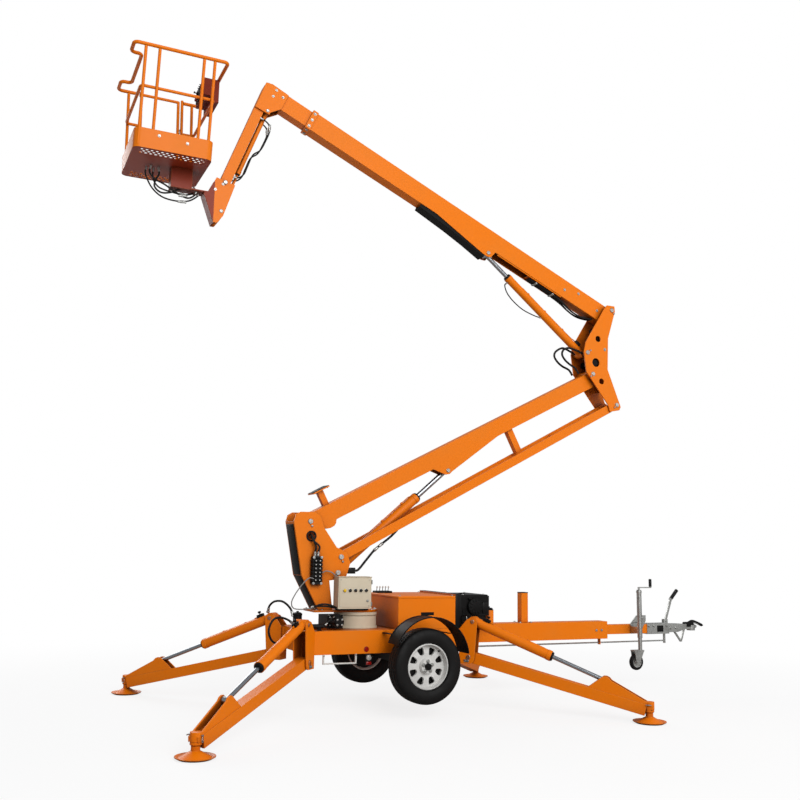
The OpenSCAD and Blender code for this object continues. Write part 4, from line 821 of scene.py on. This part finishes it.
def add_joint_pin(pins, keepers, centre, lean):
    """Pin ends on both side plates, each with a small keeper plate that a bolt holds down.

    lean turns the keeper about the pin, in radians."""
    for side in (1, -1):
        end = Matrix.Translation(centre + Vector((0, side * PLATE_FACE, 0))) @ Matrix.Rotation(lean, 4, "Y")
        add_pin(pins, (0, 0, 0), (0, side, 0), 0.0225, 0.011, end)
        add_block(keepers, (0.014, side * 0.0035 - 0.0035, -0.009), (0.056, side * 0.0035 + 0.0035, 0.009), end,
                  0.001)
        add_bolt(pins, (0.045, side * 0.007, 0), (0, side, 0), 0.010, end)


def add_folded_sheet(shape, folds, half_width, start, end, under, over, bevel):
    """Sheet folded across the machine: one strip from each fold to the next, from start to end past the folds."""
    for low, high in zip(folds, folds[1:]):
        rise = high - low
        add_block(shape, (start, -half_width, under), (rise.length + end, half_width, over),
                  turned_frame(low, math.degrees(math.atan2(rise.z, rise.x))), bevel)


bolts = bmesh.new()
for degrees in range(-60, 61, 15):
    angle = math.radians(degrees)
    add_bolt(bolts, (BOLT_CIRCLE * math.cos(angle), BOLT_CIRCLE * math.sin(angle), BASE_TOP), (0, 0, 1), 0.013)
for side in (1, -1):
    for x in (-0.455, -0.400):
        add_bolt(bolts, (x, side * 0.146, BASE_TOP), (0, 0, 1), 0.013)
keepers = bmesh.new()
for joint in ("lower_boom_lift", "lower_link_swing", "lower_cylinder_swing"):
    add_joint_pin(bolts, keepers, pivot(joint), 1.2)
add_piece("turret_keepers", keepers, orange_enamel, "turret")
add_piece("turret_pins", bolts, bright_zinc, "turret")
# Painted shade: a black sheet closes the column's open back and stands in for the shade inside it
column_shade_sheet = bmesh.new()
add_folded_sheet(column_shade_sheet, [Vector((-0.438, 0, 0.960)), Vector((-0.606, 0, 1.262)), Vector((-0.701, 0, 1.745))],
                 half_width=0.104, start=0.004, end=-0.002, under=0.001, over=0.006, bevel=0.002)
add_piece("column_painted_shade_sheet", column_shade_sheet, moulded_black, "turret")
LOWER_HINGE = pivot("lower_boom_lift")
HOLE = LOWER_HINGE + Vector((0.012, 0, -0.138))     # the hoses come out of the plate here, in a rubber grommet
grommet = bmesh.new()
for side in (1, -1):
    add_turned(grommet, [(0.0385, -0.0155), (0.0385, 0.003), (0.052, 0.003), (0.052, 0.0005), (0.0445, 0.0005),
                         (0.0445, -0.0155)], HOLE + Vector((0, side * PLATE_FACE, 0)), (0, side, 0), 32, closed=True)
add_piece("hose_grommets", grommet, tyre_rubber, "turret")
for k, (port, end) in enumerate(((HOLE + Vector((-0.006, 0, 0.012)), -0.495),
                                 (HOLE + Vector((0.010, 0, -0.008)), -0.462))):
    add_hose("column_hose_%d" % (k + 1),
             [port + Vector((0, -0.108, 0)), port + Vector((0, -0.150, -0.004)),
              port + Vector((0.006, -0.176, -0.040)), (end + 0.006, -0.176, 1.535), (end, -0.170, 1.480),
              (end, -0.168, 1.4405)],
             "turret", radius=0.0095, ends=(False, True))
# Nylon hose: mid grey and slightly waxy, paler than anything else among the valves. Grain drawn 3 mm
grey_hose = rubber("grey_nylon_hose", "#8d8c8a", "#6f6d6a", grain_mm=3.0)
pilots = bmesh.new()
add_tube(pilots, [(-0.508, -0.186, 1.235), (-0.560, -0.205, 1.240), (-0.625, -0.212, 1.185),
                  (-0.690, -0.208, 1.095), (-0.722, -0.200, 1.020), (-0.700, -0.192, 0.965), (-0.620, -0.180, 0.952),
                  (-0.520, -0.168, 0.958), (-0.480, -0.164, 0.958)], 0.0055, 10)
add_tube(pilots, [(-0.416, -0.176, 1.290), (-0.385, -0.182, 1.306), (-0.330, -0.172, 1.296),
                  (-0.285, -0.160, 1.270), (-0.262, -0.155, 1.254)], 0.0055, 10)
add_piece("pilot_hoses", pilots, grey_hose, "turret")
for k, (rise, out) in enumerate(((0.000, 0.0), (0.018, 0.016))):
    add_hose("slew_hose_%d" % (k + 1),
             [(-0.505, -0.150 - out, 0.962), (-0.494, -0.196 - out, 0.978), (-0.440, -0.226 - out, 0.982 + rise),
              (-0.372, -0.232 - out, 0.978 + rise), (-0.312, -0.226 - out, 0.968 + rise / 2),
              (-0.270, -0.216, 0.960)], "turret", radius=0.0085, ends=(True, False))
# The valve block's spools: a hexagon plug and a round one on the right face of each, and a coil behind
SPOOLS = [1.221 + 0.036 * k for k in range(6)]
caps, coils = bmesh.new(), bmesh.new()
for z in SPOOLS:
    add_turned(caps, [(0, 0), (0.0085, 0), (0.0085, 0.004), (0.0060, 0.0065), (0, 0.0065)], (-0.492, -0.197, z),
               (0, -1, 0), 6)
    add_turned(caps, [(0, 0), (0.0070, 0), (0.0070, 0.003), (0, 0.003)], (-0.448, -0.191, z), (0, -1, 0), 16)
    add_block(coils, (-0.474, -0.1905, z - 0.008), (-0.462, -0.183, z + 0.008), bevel=0.002)
    add_turned(coils, [(0, 0), (0.0125, 0), (0.0135, 0.002), (0.0135, 0.008), (0.011, 0.0105), (0, 0.011)],
               (-0.5285, -0.155, z), (1, 0, 0), 16)
for x in (-0.510, -0.432):
    for z in (1.190, 1.432):
        add_bolt(caps, (x, -0.188, z), (0, -1, 0), 0.013)
add_piece("valve_caps", caps, bright_zinc, "turret")
add_piece("valve_plugs", coils, satin_black, "turret")

# --- Ground controls ---------------------------------------------------------------------
# Hammer-painted steel cabinet with a hinged door, a lock and four corner screws, on a moulded plinth.
# Its push knobs are turned plastic, the emergency one yellow.
BOX = (Vector((-0.283, -0.262, 0.956)), Vector((0.055, -0.1323, 1.253)))
DOOR_FACE = BOX[0].y - 0.004
KNOBS = [Vector((-0.222 + 0.055 * k, 0, 1.128)) for k in range(5)]

door = bmesh.new()
add_block(door, (BOX[0].x + 0.012, BOX[0].y - 0.0045, BOX[0].z + 0.012),
          (BOX[1].x - 0.012, BOX[0].y + 0.002, BOX[1].z - 0.012), bevel=0.003, segments=3)
add_block(door, (BOX[0].x - 0.004, BOX[0].y - 0.007, BOX[1].z - 0.004),
          (BOX[1].x + 0.004, BOX[1].y, BOX[1].z + 0.004), bevel=0.003, segments=3)
add_piece("cabinet_door", door, warm_grey, "turret")
hardware = bmesh.new()      # hinges, lock, corner screws, and a collar round each knob
for z in (0.980, 1.185):
    add_turned(hardware, [(0, 0), (0.006, 0), (0.006, 0.040), (0, 0.040)], (BOX[1].x + 0.003, BOX[0].y - 0.003, z),
               (0, 0, 1), 12)
add_turned(hardware, [(0, 0), (0.012, 0), (0.012, 0.004), (0.009, 0.006), (0, 0.006)],
           (BOX[1].x - 0.040, DOOR_FACE, 1.030), (0, -1, 0), 20)
for x in (BOX[0].x + 0.026, BOX[1].x - 0.026):
    for z in (BOX[0].z + 0.026, BOX[1].z - 0.026):
        add_turned(hardware, [(0, 0), (0.005, 0), (0.004, 0.0025), (0, 0.003)], (x, DOOR_FACE, z), (0, -1, 0), 12)
for knob in KNOBS:
    add_turned(hardware, [(0.0125, 0), (0.0165, 0), (0.0165, 0.003), (0.0125, 0.004)],
               knob + Vector((0, DOOR_FACE, 0)), (0, -1, 0), 24, closed=True)
add_piece("cabinet_hardware", hardware, bright_zinc, "turret")
# Turned plastic: smooth and glossy; the tool leaves a faint wave, drawn 20 mm
knob_black = enamel("turned_black_plastic", "#141415", "#1d1d1e", 0.30, 0.3, grain_mm=20.0)
knob_yellow = enamel("turned_yellow_plastic", "#e5b91b", "#d9b02a", 0.32, 0.3, grain_mm=20.0)
push, emergency = bmesh.new(), bmesh.new()
for k, knob in enumerate(KNOBS):
    add_turned(push if k else emergency,
               [(0, 0), (0.0135, 0), (0.0150, 0.003), (0.0150, 0.009), (0.0125, 0.014), (0.006, 0.0165), (0, 0.017)],
               knob + Vector((0, DOOR_FACE - 0.004, 0)), (0, -1, 0), 24)
add_piece("push_knobs", push, knob_black, "turret")
add_piece("emergency_knob", emergency, knob_yellow, "turret")
# The plinth holds the cabinet up, and its black is also painted shade for the gap under the cabinet
plinth = bmesh.new()
add_block(plinth, (-0.264, -0.2485, 0.9405), (0.032, -0.133, 0.9565), bevel=0.003)
add_piece("cabinet_plinth", plinth, moulded_black, "turret")

# --- Slew motor --------------------------------------------------------------------------
# Cast worm housing bolted beside the drum, with an orbital motor on it: a round body of ground rings,
# which four studs clamp together through an end cover.
MOTOR = Vector((-0.275, 0, 0.836))      # the motor's axis lies across the machine
STUD_CIRCLE, FLANGE_CIRCLE = 0.0335, 0.0520

motor = bmesh.new()
for start in (0.1405, 0.176, 0.214, 0.252):
    add_turned(motor, [(0.0455, 0), (0.0480, 0.002), (0.0480, 0.028), (0.0455, 0.030)],
               MOTOR - Vector((0, start, 0)), (0, -1, 0), 36, closed=True)
add_turned(motor, [(0, 0), (0.044, 0), (0.044, 0.004), (0.038, 0.009), (0, 0.010)], MOTOR - Vector((0, 0.2885, 0)),
           (0, -1, 0), 36)
add_piece("motor_rings", motor, satin_black, "chassis")
studs = bmesh.new()
for k in range(4):
    out = Vector((math.cos(math.radians(45 + 90 * k)), 0, math.sin(math.radians(45 + 90 * k))))
    add_bolt(studs, MOTOR + STUD_CIRCLE * out - Vector((0, 0.2970, 0)), (0, -1, 0), 0.010)
    add_bolt(studs, MOTOR + FLANGE_CIRCLE * out - Vector((0, 0.1395, 0)), (0, -1, 0), 0.009)
for x in (-0.320, -0.170):
    add_bolt(studs, (x, -0.112, 0.888), (0, 0, 1), 0.013)
add_piece("motor_studs", studs, bright_zinc, "chassis")

# --- Lower boom and link -----------------------------------------------------------------
# Welded box boom over twin link bars. A bolted rubber pad on its cradle takes the stowed upper boom,
# a plated pin holds the lift ram's eye in its gussets, and a hose feeds the ram through a port block.
LOWER_SLOPE = 27.8           # degrees up from the turret, at rest
LOWER = turned_frame(LOWER_HINGE, LOWER_SLOPE)
BOOM_FACE = 0.070            # outer faces of both booms' end gussets

pads = bmesh.new()
add_block(pads, (0.162, -0.083, 0.2235), (0.338, 0.083, 0.2285), LOWER, 0.002, 3)
add_piece("boom_rest_pads", pads, tyre_rubber, "lower_boom")
steel = bmesh.new()
add_cross_pin(steel, pivot("lower_cylinder_stroke"), BOOM_FACE, 0.0185, 0.009)
add_cross_bolts(steel, ((0.060, 0, 0.020), (0.060, 0, -0.060)), BOOM_FACE, 0.013, LOWER)
for x in (0.180, 0.320):
    for y in (0.070, -0.070):
        add_bolt(steel, (x, y, 0.2135), (0, 0, -1), 0.011, LOWER)
add_piece("lower_boom_pins", steel, bright_zinc, "lower_boom")
feed, ports = bmesh.new(), bmesh.new()
path = [Vector((x, -0.0975, z)) for x, z in ((-0.065, 1.312), (-0.020, 1.318), (0.065, 1.415), (0.144, 1.505),
                                             (0.235, 1.578), (0.322, 1.645), (0.392, 1.712))]
add_tube(feed, path, 0.0115, 12)
add_piece("link_feed_hose", feed, hose_rubber, ("turret", "lower_link", path[1], path[5]))
for port, along in ((path[3], path[4] - path[3]), (path[4], path[3] - path[4])):
    add_fitting(ports, port, along, 0.0105)
add_piece("link_feed_fittings", ports, bright_zinc, ("turret", "lower_link", path[1], path[5]))
block = bmesh.new()
add_block(block, (-0.130, -0.117, 1.280), (-0.055, -0.077, 1.338), bevel=0.004)
add_block(block, (-0.190, -0.118, 1.292), (-0.125, -0.090, 1.322), bevel=0.004)
add_piece("ram_port_block", block, satin_black, "turret")
lower_ram = ram_frame("lower_cylinder_swing", "lower_cylinder_stroke")
valve = bmesh.new()
add_block(valve, (0.095, -0.022, 0.046), (0.175, 0.022, 0.092), lower_ram, 0.003)
add_gland(valve, lower_ram, mouth=1.1678, bore=0.0275, body=0.047, nose=0.042, shoulder=0.014, length=0.019)
add_piece("lower_ram_valve", valve, satin_black, "lower_lift_barrel")
pipe = bmesh.new()
add_ram_pipe(pipe, lower_ram, ((0.175, 0.068), (0.215, 0.068), (0.260, 0.060), (0.70, 0.0575), (1.06, 0.0575),
                               (1.105, 0.055), (1.125, 0.045)),
             radius=0.005, clips=(0.40, 0.72, 1.00), half=0.011, low=0.046, high=0.066)
add_piece("lower_ram_pipe", pipe, orange_enamel, "lower_lift_barrel")

# --- Knuckle -----------------------------------------------------------------------------
# Two profiled plates joined by their pins and by a folded web. The hoses come up from the lower boom
# in two open loops, pass a nylon roller and run on inside the plates to the upper boom.
KNUCKLE_HINGE = pivot("knuckle_levelling")
UPPER_HINGE = pivot("upper_boom_lift")

pins, keepers = bmesh.new(), bmesh.new()
for centre, lean in ((KNUCKLE_HINGE, 2.4), (KNUCKLE_HINGE + Vector((0.324, 0, -0.332)), 2.4), (UPPER_HINGE, 0.9),
                     (pivot("upper_cylinder_swing"), -0.6)):
    add_joint_pin(pins, keepers, centre, lean)
add_piece("knuckle_keepers", keepers, orange_enamel, "knuckle")
add_cross_bolts(pins, [KNUCKLE_HINGE + Vector((0.170, 0, 0.300))], PLATE_FACE, 0.019)
add_piece("knuckle_pins", pins, bright_zinc, "knuckle")
web = bmesh.new()
add_folded_sheet(web, [KNUCKLE_HINGE + Vector((x, 0, z)) for x, z in ((0.262, -0.160), (0.165, 0.075), (0.170, 0.430),
                                                                      (0.185, 0.600))],
                 half_width=0.1175, start=-0.002, end=0.002, under=-0.003, over=0.003, bevel=0.001)
add_piece("knuckle_web", web, orange_enamel, "knuckle")
roller = bmesh.new()
add_turned(roller, [(0, -0.1165), (0.038, -0.1165), (0.040, -0.113), (0.034, -0.104), (0.034, 0.104), (0.040, 0.113),
                    (0.038, 0.1165), (0, 0.1165)], KNUCKLE_HINGE + Vector((0.042, 0, 0.136)), (0, 1, 0), 32)
add_piece("hose_roller", roller, moulded_black, "knuckle")
for k, y in enumerate((-0.060, -0.020, 0.020, 0.060)):
    rise = 0.006 * (k % 2)      # every other hose starts a little higher
    add_hose("knuckle_hose_%d" % (k + 1),
             [KNUCKLE_HINGE + Vector(p) for p in ((0.060, y, 0.092 + rise), (0.084, y, 0.160), (0.112, y, 0.232),
                                                  (0.140, y, 0.300), (0.150, y, 0.380), (0.128, y, 0.470),
                                                  (0.096, 0.9 * y, 0.560))],
             "knuckle", radius=0.0095, ends=(False, False))
for k, (y, grow) in enumerate(((-0.061, 0.0), (0.061, 0.022))):     # the far loop is a little wider
    elbow = bmesh.new()
    add_tube(elbow, [KNUCKLE_HINGE + Vector(p) for p in (
        (-0.150, y, 0.000), (-0.196, y, 0.058), (-0.262 - grow, y, 0.092), (-0.330 - grow, y, 0.138),
        (-0.371 - grow, y, 0.198), (-0.350 - grow, y, 0.256), (-0.280, y, 0.284 + grow),
        (-0.180, y, 0.268 + grow / 2), (-0.090, y, 0.240), (-0.020, y, 0.205))], 0.0120, 12)
    add_piece("elbow_hose_%d" % (k + 1), elbow, hose_rubber,
              ("lower_boom", "knuckle", KNUCKLE_HINGE + Vector((-0.330, 0, 0.120)),
               KNUCKLE_HINGE + Vector((-0.180, 0, 0.275))))

# --- Upper boom --------------------------------------------------------------------------
# Box section with a bolted collar at its mouth. The lift ram lies under it with a lock valve, and
# hoses hang from straps along the underside to the channel under the gussets, between two steel pipes.
UPPER_SLOPE = 23.8           # degrees up towards the rear, at rest
UPPER = turned_frame(UPPER_HINGE, UPPER_SLOPE, 180)
COLLAR = 4.030               # out along the boom

steel = bmesh.new()
add_cross_pin(steel, (1.668, 0, -0.228), BOOM_FACE, 0.0185, 0.009, UPPER)
add_cross_bolts(steel, ((0.146, 0, -0.075), (0.449, 0, -0.025), (0.633, 0, -0.082)), BOOM_FACE, 0.017, UPPER)
add_cross_bolts(steel, [(COLLAR, 0, z) for z in (-0.150, -0.072, 0.004)], 0.078, 0.017, UPPER)
for y in (-0.042, 0.042):
    add_bolt(steel, (COLLAR, y, 0.038), (0, 0, 1), 0.017, UPPER)
    add_bolt(steel, (COLLAR, y, -0.183), (0, 0, -1), 0.017, UPPER)
for x in (0.740, 0.980):        # the straps, with a leg up each side to the boom
    add_block(steel, (x - 0.012, -0.050, -0.207), (x + 0.012, 0.050, -0.203), UPPER, 0.001)
    for y in (-0.048, 0.048):
        add_block(steel, (x - 0.012, y - 0.002, -0.205), (x + 0.012, y + 0.002, -0.1755), UPPER, 0.001)
add_piece("upper_boom_pins", steel, bright_zinc, "upper_boom")
for k, y in enumerate((-0.033, -0.011, 0.011, 0.033)):
    sag = 0.014 * (k % 2)       # every other hose hangs lower before the first strap
    add_hose("boom_hose_%d" % (k + 1),
             [(0.150, y, -0.186), (0.215, y, -0.204 - sag), (0.330, y, -0.236 - sag), (0.450, y, -0.232 - sag),
              (0.580, y, -0.207 - sag / 2), (0.740, y, -0.196), (0.860, y, -0.193), (0.980, y, -0.196),
              (1.080, y, -0.190)], "upper_boom", radius=0.0095, place=UPPER, ends=(False, False))
pipes = bmesh.new()
for y in (-0.061, 0.061):
    add_tube(pipes, [(0.640, y, -0.183), (1.100, y, -0.183), (1.560, y, -0.183)], 0.0075, 10, UPPER)
add_piece("underside_pipes", pipes, orange_enamel, "upper_boom")
upper_ram = ram_frame("upper_cylinder_swing", "upper_cylinder_stroke", 180)
valve = bmesh.new()
add_block(valve, (0.080, -0.022, 0.040), (0.150, 0.022, 0.084), upper_ram, 0.003)
add_gland(valve, upper_ram, mouth=1.2514, bore=0.0245, body=0.041, nose=0.037, shoulder=0.014, length=0.019)
add_piece("upper_ram_valve", valve, satin_black, "upper_lift_barrel")
# The rod's inner length, hidden in the barrel at rest and drawn out when the boom is raised
stem = bmesh.new()
add_turned(stem, [(0, 0.560), (0.0209, 0.560), (0.0229, 0.562), (0.0229, 0.8085), (0, 0.8085)], (0, 0, 0), (1, 0, 0),
           48, upper_ram)
add_piece("upper_ram_stem", stem, hard_chrome, "upper_lift_rod")
add_hose("upper_ram_hose",
         [(1.215, 0, -0.046), (1.222, 0, -0.092), (1.150, 0, -0.140), (1.040, 0, -0.158), (0.886, 0, -0.146),
          (0.738, 0, -0.094), (0.655, 0, -0.050)], "upper_lift_barrel", radius=0.0065, place=upper_ram)
pipe = bmesh.new()
add_ram_pipe(pipe, upper_ram, ((0.150, 0.062), (0.190, 0.062), (0.235, 0.054), (0.60, 0.0505), (0.98, 0.0505),
                               (1.030, 0.050), (1.050, 0.042)),
             radius=0.005, clips=(0.36, 0.66, 0.94), half=0.011, low=0.041, high=0.059)
add_piece("upper_ram_pipe", pipe, orange_enamel, "upper_lift_barrel")

# --- Gooseneck ---------------------------------------------------------------------------
# Welded plates on the inner boom hold the basket's hinge pin and the levelling ram, which has a
# screwed gland and a port block. Two hoses bow out in front of the neck, joined half way by fittings.
NECK_HOSES = (-0.045, 0.045)

steel = bmesh.new()
add_cross_pin(steel, pivot("level_cylinder_swing"), 0.072, 0.0145, 0.008)
add_cross_bolts(steel, ((4.390, 0, -0.040), (4.480, 0, -0.012), (4.480, 0, -0.090)), 0.072, 0.015, UPPER)
add_piece("gooseneck_pins", steel, bright_zinc, "inner_boom")
for k, y in enumerate(NECK_HOSES):
    add_hose("neck_hose_%d" % (k + 1),
             [(-1.180, y, 5.780), (-1.132, y, 5.765), (-1.086, y, 5.724), (-1.078, y, 5.655), (-1.112, y, 5.552),
              (-1.164, y, 5.440), (-1.238, y, 5.372), (-1.285, y, 5.250), (-1.318, y, 5.160), (-1.368, y, 5.112),
              (-1.427, y, 5.106)],
             "inner_boom", radius=0.0075)
joints = bmesh.new()
for y in NECK_HOSES:
    add_fitting(joints, (-1.079, y, 5.690), (0.1, 0, 1), 0.0085)
    add_fitting(joints, (-1.079, y, 5.694), (0.0, 0, -1), 0.0085)
add_piece("neck_hose_joints", joints, bright_zinc, "inner_boom")
level_ram = ram_frame("level_cylinder_swing", "level_cylinder_stroke", 180)
gland = bmesh.new()
add_gland(gland, level_ram, mouth=0.7482, bore=0.0155, body=0.023, nose=0.020, shoulder=0.008, length=0.011, sides=28)
add_block(gland, (0.055, -0.014, 0.022), (0.105, 0.014, 0.046), level_ram, 0.002)
add_piece("level_ram_gland", gland, satin_black, "level_barrel")

# --- Basket ------------------------------------------------------------------------------
# Bent-tube cage on a pressed tray with a folded toe board, all enamelled orange outside and left in
# red oxide primer on the tread, which is also painted shade on its underside. The platform controls are moulded, on a
# primed steel panel.
TRAY_REAR, TRAY_FRONT = -2.43485, -1.70985
TRAY_HALF = 0.380            # half of the tray's width, at the foot of the toe board
TRAY_BOTTOM, TOE_TOP = 5.09215, 5.27015
TOE_FLARE = 0.027            # the board leans out over the posts it is welded to
TRAY_CORNER = 0.060          # radius of the board's bent corners
SHEET = 0.004

hinge = pivot("basket_levelling")
steel = bmesh.new()
add_cross_pin(steel, hinge, 0.078, 0.0175, 0.008)
add_cross_pin(steel, pivot("level_cylinder_stroke"), 0.070, 0.0145, 0.008)
add_cross_bolts(steel, [hinge + Vector((-0.094, 0, -0.086)), hinge + Vector((-0.021, 0, -0.020))], 0.070, 0.015)
for x, z, face in ((-2.213, 5.221, 0.399608), (-1.953, 5.200, 0.396416)):   # through the leaning toe board
    add_cross_bolts(steel, [(x, 0, z)], face, 0.015)
add_piece("basket_pins", steel, bright_zinc, "basket")
add_hose("basket_loop_hose",
         [(-2.251, 0.0, 5.075), (-2.256, 0.0, 5.000), (-2.195, 0.0, 4.879), (-2.094, 0.0, 4.800),
          (-1.960, 0.0, 4.780), (-1.840, 0.0, 4.800), (-1.760, 0.0, 4.858), (-1.742, 0.0, 4.900)],
         "basket", radius=0.0075)
add_hose("basket_return_hose",
         [(-2.180, 0.03, 5.080), (-2.180, 0.03, 4.980), (-2.120, 0.03, 4.900), (-1.990, 0.03, 4.872),
          (-1.880, 0.03, 4.866), (-1.800, 0.03, 4.890), (-1.770, 0.03, 4.930)], "basket", radius=0.0075)
add_hose("basket_cross_hose",
         [(-2.215, -0.04, 5.078), (-2.225, -0.04, 5.010), (-2.180, -0.05, 4.945), (-2.080, -0.05, 4.905),
          (-1.960, -0.04, 4.846), (-1.860, -0.03, 4.816), (-1.795, -0.03, 4.850), (-1.770, -0.03, 4.905)],
         "basket", radius=0.0085)
add_hose("basket_slack_hose",
         [(-2.140, -0.01, 5.080), (-2.132, -0.01, 5.015), (-2.160, -0.02, 4.950), (-2.168, -0.02, 4.880),
          (-2.105, -0.02, 4.832), (-2.010, -0.02, 4.850), (-1.925, -0.01, 4.900), (-1.830, 0.0, 4.905),
          (-1.785, 0.01, 4.945)], "basket", radius=0.0085)
fittings = bmesh.new()
for y, z, along in ((0.0, 4.784, 1), (0.0, 4.782, -1), (0.03, 4.870, 1), (0.03, 4.868, -1),
                    (-0.0345, 4.832, 1), (-0.0345, 4.828, -1)):
    add_fitting(fittings, (-1.900, y, z), (along, 0, -0.1), 0.0085)
add_piece("basket_hose_joints", fittings, bright_zinc, "basket")
PANEL = Vector((-1.78485, 0, 5.900))    # on the face of the control panel
console = bmesh.new()
add_block(console, PANEL + Vector((-0.010, -0.140, -0.035)), PANEL + Vector((0.002, 0.140, 0.095)), bevel=0.004,
          segments=3)
for y in (-0.100, -0.060, -0.020):      # toggles, then the joystick
    add_turned(console, [(0, 0), (0.008, 0), (0.008, 0.004), (0.004, 0.006), (0.0045, 0.020), (0, 0.022)],
               PANEL + Vector((-0.010, y, 0.060)), (-1, 0, 0.2), 14)
add_turned(console, [(0, 0), (0.018, 0), (0.019, 0.003), (0.011, 0.012), (0.006, 0.015), (0.0055, 0.028),
                     (0.010, 0.032), (0.011, 0.040), (0, 0.043)],
           PANEL + Vector((-0.010, 0.055, 0.040)), (-1, 0, 0.3), 18)
add_piece("platform_controls", console, moulded_black, "basket")
stop = bmesh.new()
add_turned(stop, [(0, 0), (0.012, 0), (0.012, 0.005), (0.016, 0.007), (0.017, 0.013), (0.013, 0.017), (0, 0.018)],
           PANEL + Vector((-0.010, 0.110, 0.000)), (-1, 0, 0), 24)
add_piece("stop_button", stop, red_lens, "basket")
latch = bmesh.new()
add_block(latch, (-1.905, 0.455, 5.680), (-1.872, 0.490, 5.720), bevel=0.004)
add_tube(latch, [(-1.895, 0.490, 5.705), (-1.895, 0.512, 5.712), (-1.895, 0.520, 5.735)], 0.004, 10)
add_piece("gate_latch", latch, bright_zinc, "basket_gate")

# Red oxide primer: a dead flat brown red, with no coat over it. Its spray grain drawn 6 mm
red_oxide = enamel("red_oxide_primer", "#7a2815", "#863b28", 0.55, 0.0, grain_mm=6.0)
finish_nodes(red_oxide, "basket_panel")
# Orange over primer: enamel on the upright faces, and bare primer where the tread lies level; its dark red is also
# painted shade on the tray's underside, with brown painted shade in the corners
primed_and_shaded_orange = enamel("orange_over_primer_and_painted_shade", ORANGE, DUSTY_ORANGE, 0.38, 0.08, edge=WORN_ORANGE,
                       primer_and_painted_shade="#9a3a20", painted_corner_shade="#4a1a0a")
# Painted shade on the bracket: its level faces and all of its part under the tray, behind the hinge, are a dark red
# primer colour that stands in for shade, with darker painted shade in its corners
bracket_orange_and_shade = enamel("orange_bracket_over_primer_and_painted_shade", ORANGE, DUSTY_ORANGE, 0.38, 0.08, edge=WORN_ORANGE,
                        primer_and_painted_shade="#8a3018", painted_corner_shade="#3c1407", primer_and_shade_behind=hinge.x - 0.10)
finish_nodes(bracket_orange_and_shade, "basket_bracket")


def tray_loop(shape, inset, height, flare):
    """Ring of vertices round the tray at a height, with round corners."""
    bend, ring = TRAY_CORNER - inset, []
    for x_side, y_side, start in ((1, 1, 0), (-1, 1, 90), (-1, -1, 180), (1, -1, 270)):
        x = (TRAY_FRONT if x_side > 0 else TRAY_REAR) - x_side * TRAY_CORNER
        y = y_side * (TRAY_HALF - TRAY_CORNER + flare)
        for step in range(7):
            angle = math.radians(start + 15 * step)
            ring.append(shape.verts.new((x + bend * math.cos(angle), y + bend * math.sin(angle), height)))
    return ring


# The board is a closed strip 6 mm thick. The tread is one sheet with two fields of drain holes
tray = bmesh.new()
skin_rings(tray, [tray_loop(tray, 0.0, TRAY_BOTTOM, 0), tray_loop(tray, 0.0, TOE_TOP, TOE_FLARE),
                  tray_loop(tray, 0.006, TOE_TOP, TOE_FLARE), tray_loop(tray, 0.006, TRAY_BOTTOM, 0)], closed=True)
TREAD = TRAY_BOTTOM + 0.0005
HOLES, ROWS = 13, 3             # holes along a row, and rows on each side
HOLE_PITCH, ROW_PITCH, HOLE_RADIUS, HOLE_SIDES = 0.046, 0.038, 0.014, 10
loops = [tray_loop(tray, 0.005, TREAD, 0)]
for i in range(HOLES):
    for j in range(ROWS):
        for side in (1, -1):
            x = TRAY_REAR + 0.085 + HOLE_PITCH * (i + 0.5 * (j % 2))
            y = side * (TRAY_HALF - 0.050 - ROW_PITCH * j)
            turns = [2 * math.pi * k / HOLE_SIDES for k in range(HOLE_SIDES)]
            loops.append([tray.verts.new((x + HOLE_RADIUS * math.cos(a), y + HOLE_RADIUS * math.sin(a), TREAD))
                          for a in turns])
edges = [tray.edges.new((ring[k - 1], ring[k])) for ring in loops for k in range(len(ring))]
sheet = [face for face in bmesh.ops.triangle_fill(tray, edges=edges, use_beauty=True)["geom"]
         if isinstance(face, bmesh.types.BMFace)]
lifted = bmesh.ops.extrude_face_region(tray, geom=sheet, use_keep_orig=True)["geom"]
bmesh.ops.translate(tray, verts=[v for v in lifted if isinstance(v, bmesh.types.BMVert)], vec=(0, 0, SHEET))
tray_piece = add_piece("basket_tray", tray, primed_and_shaded_orange, "basket")
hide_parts("basket_floor")
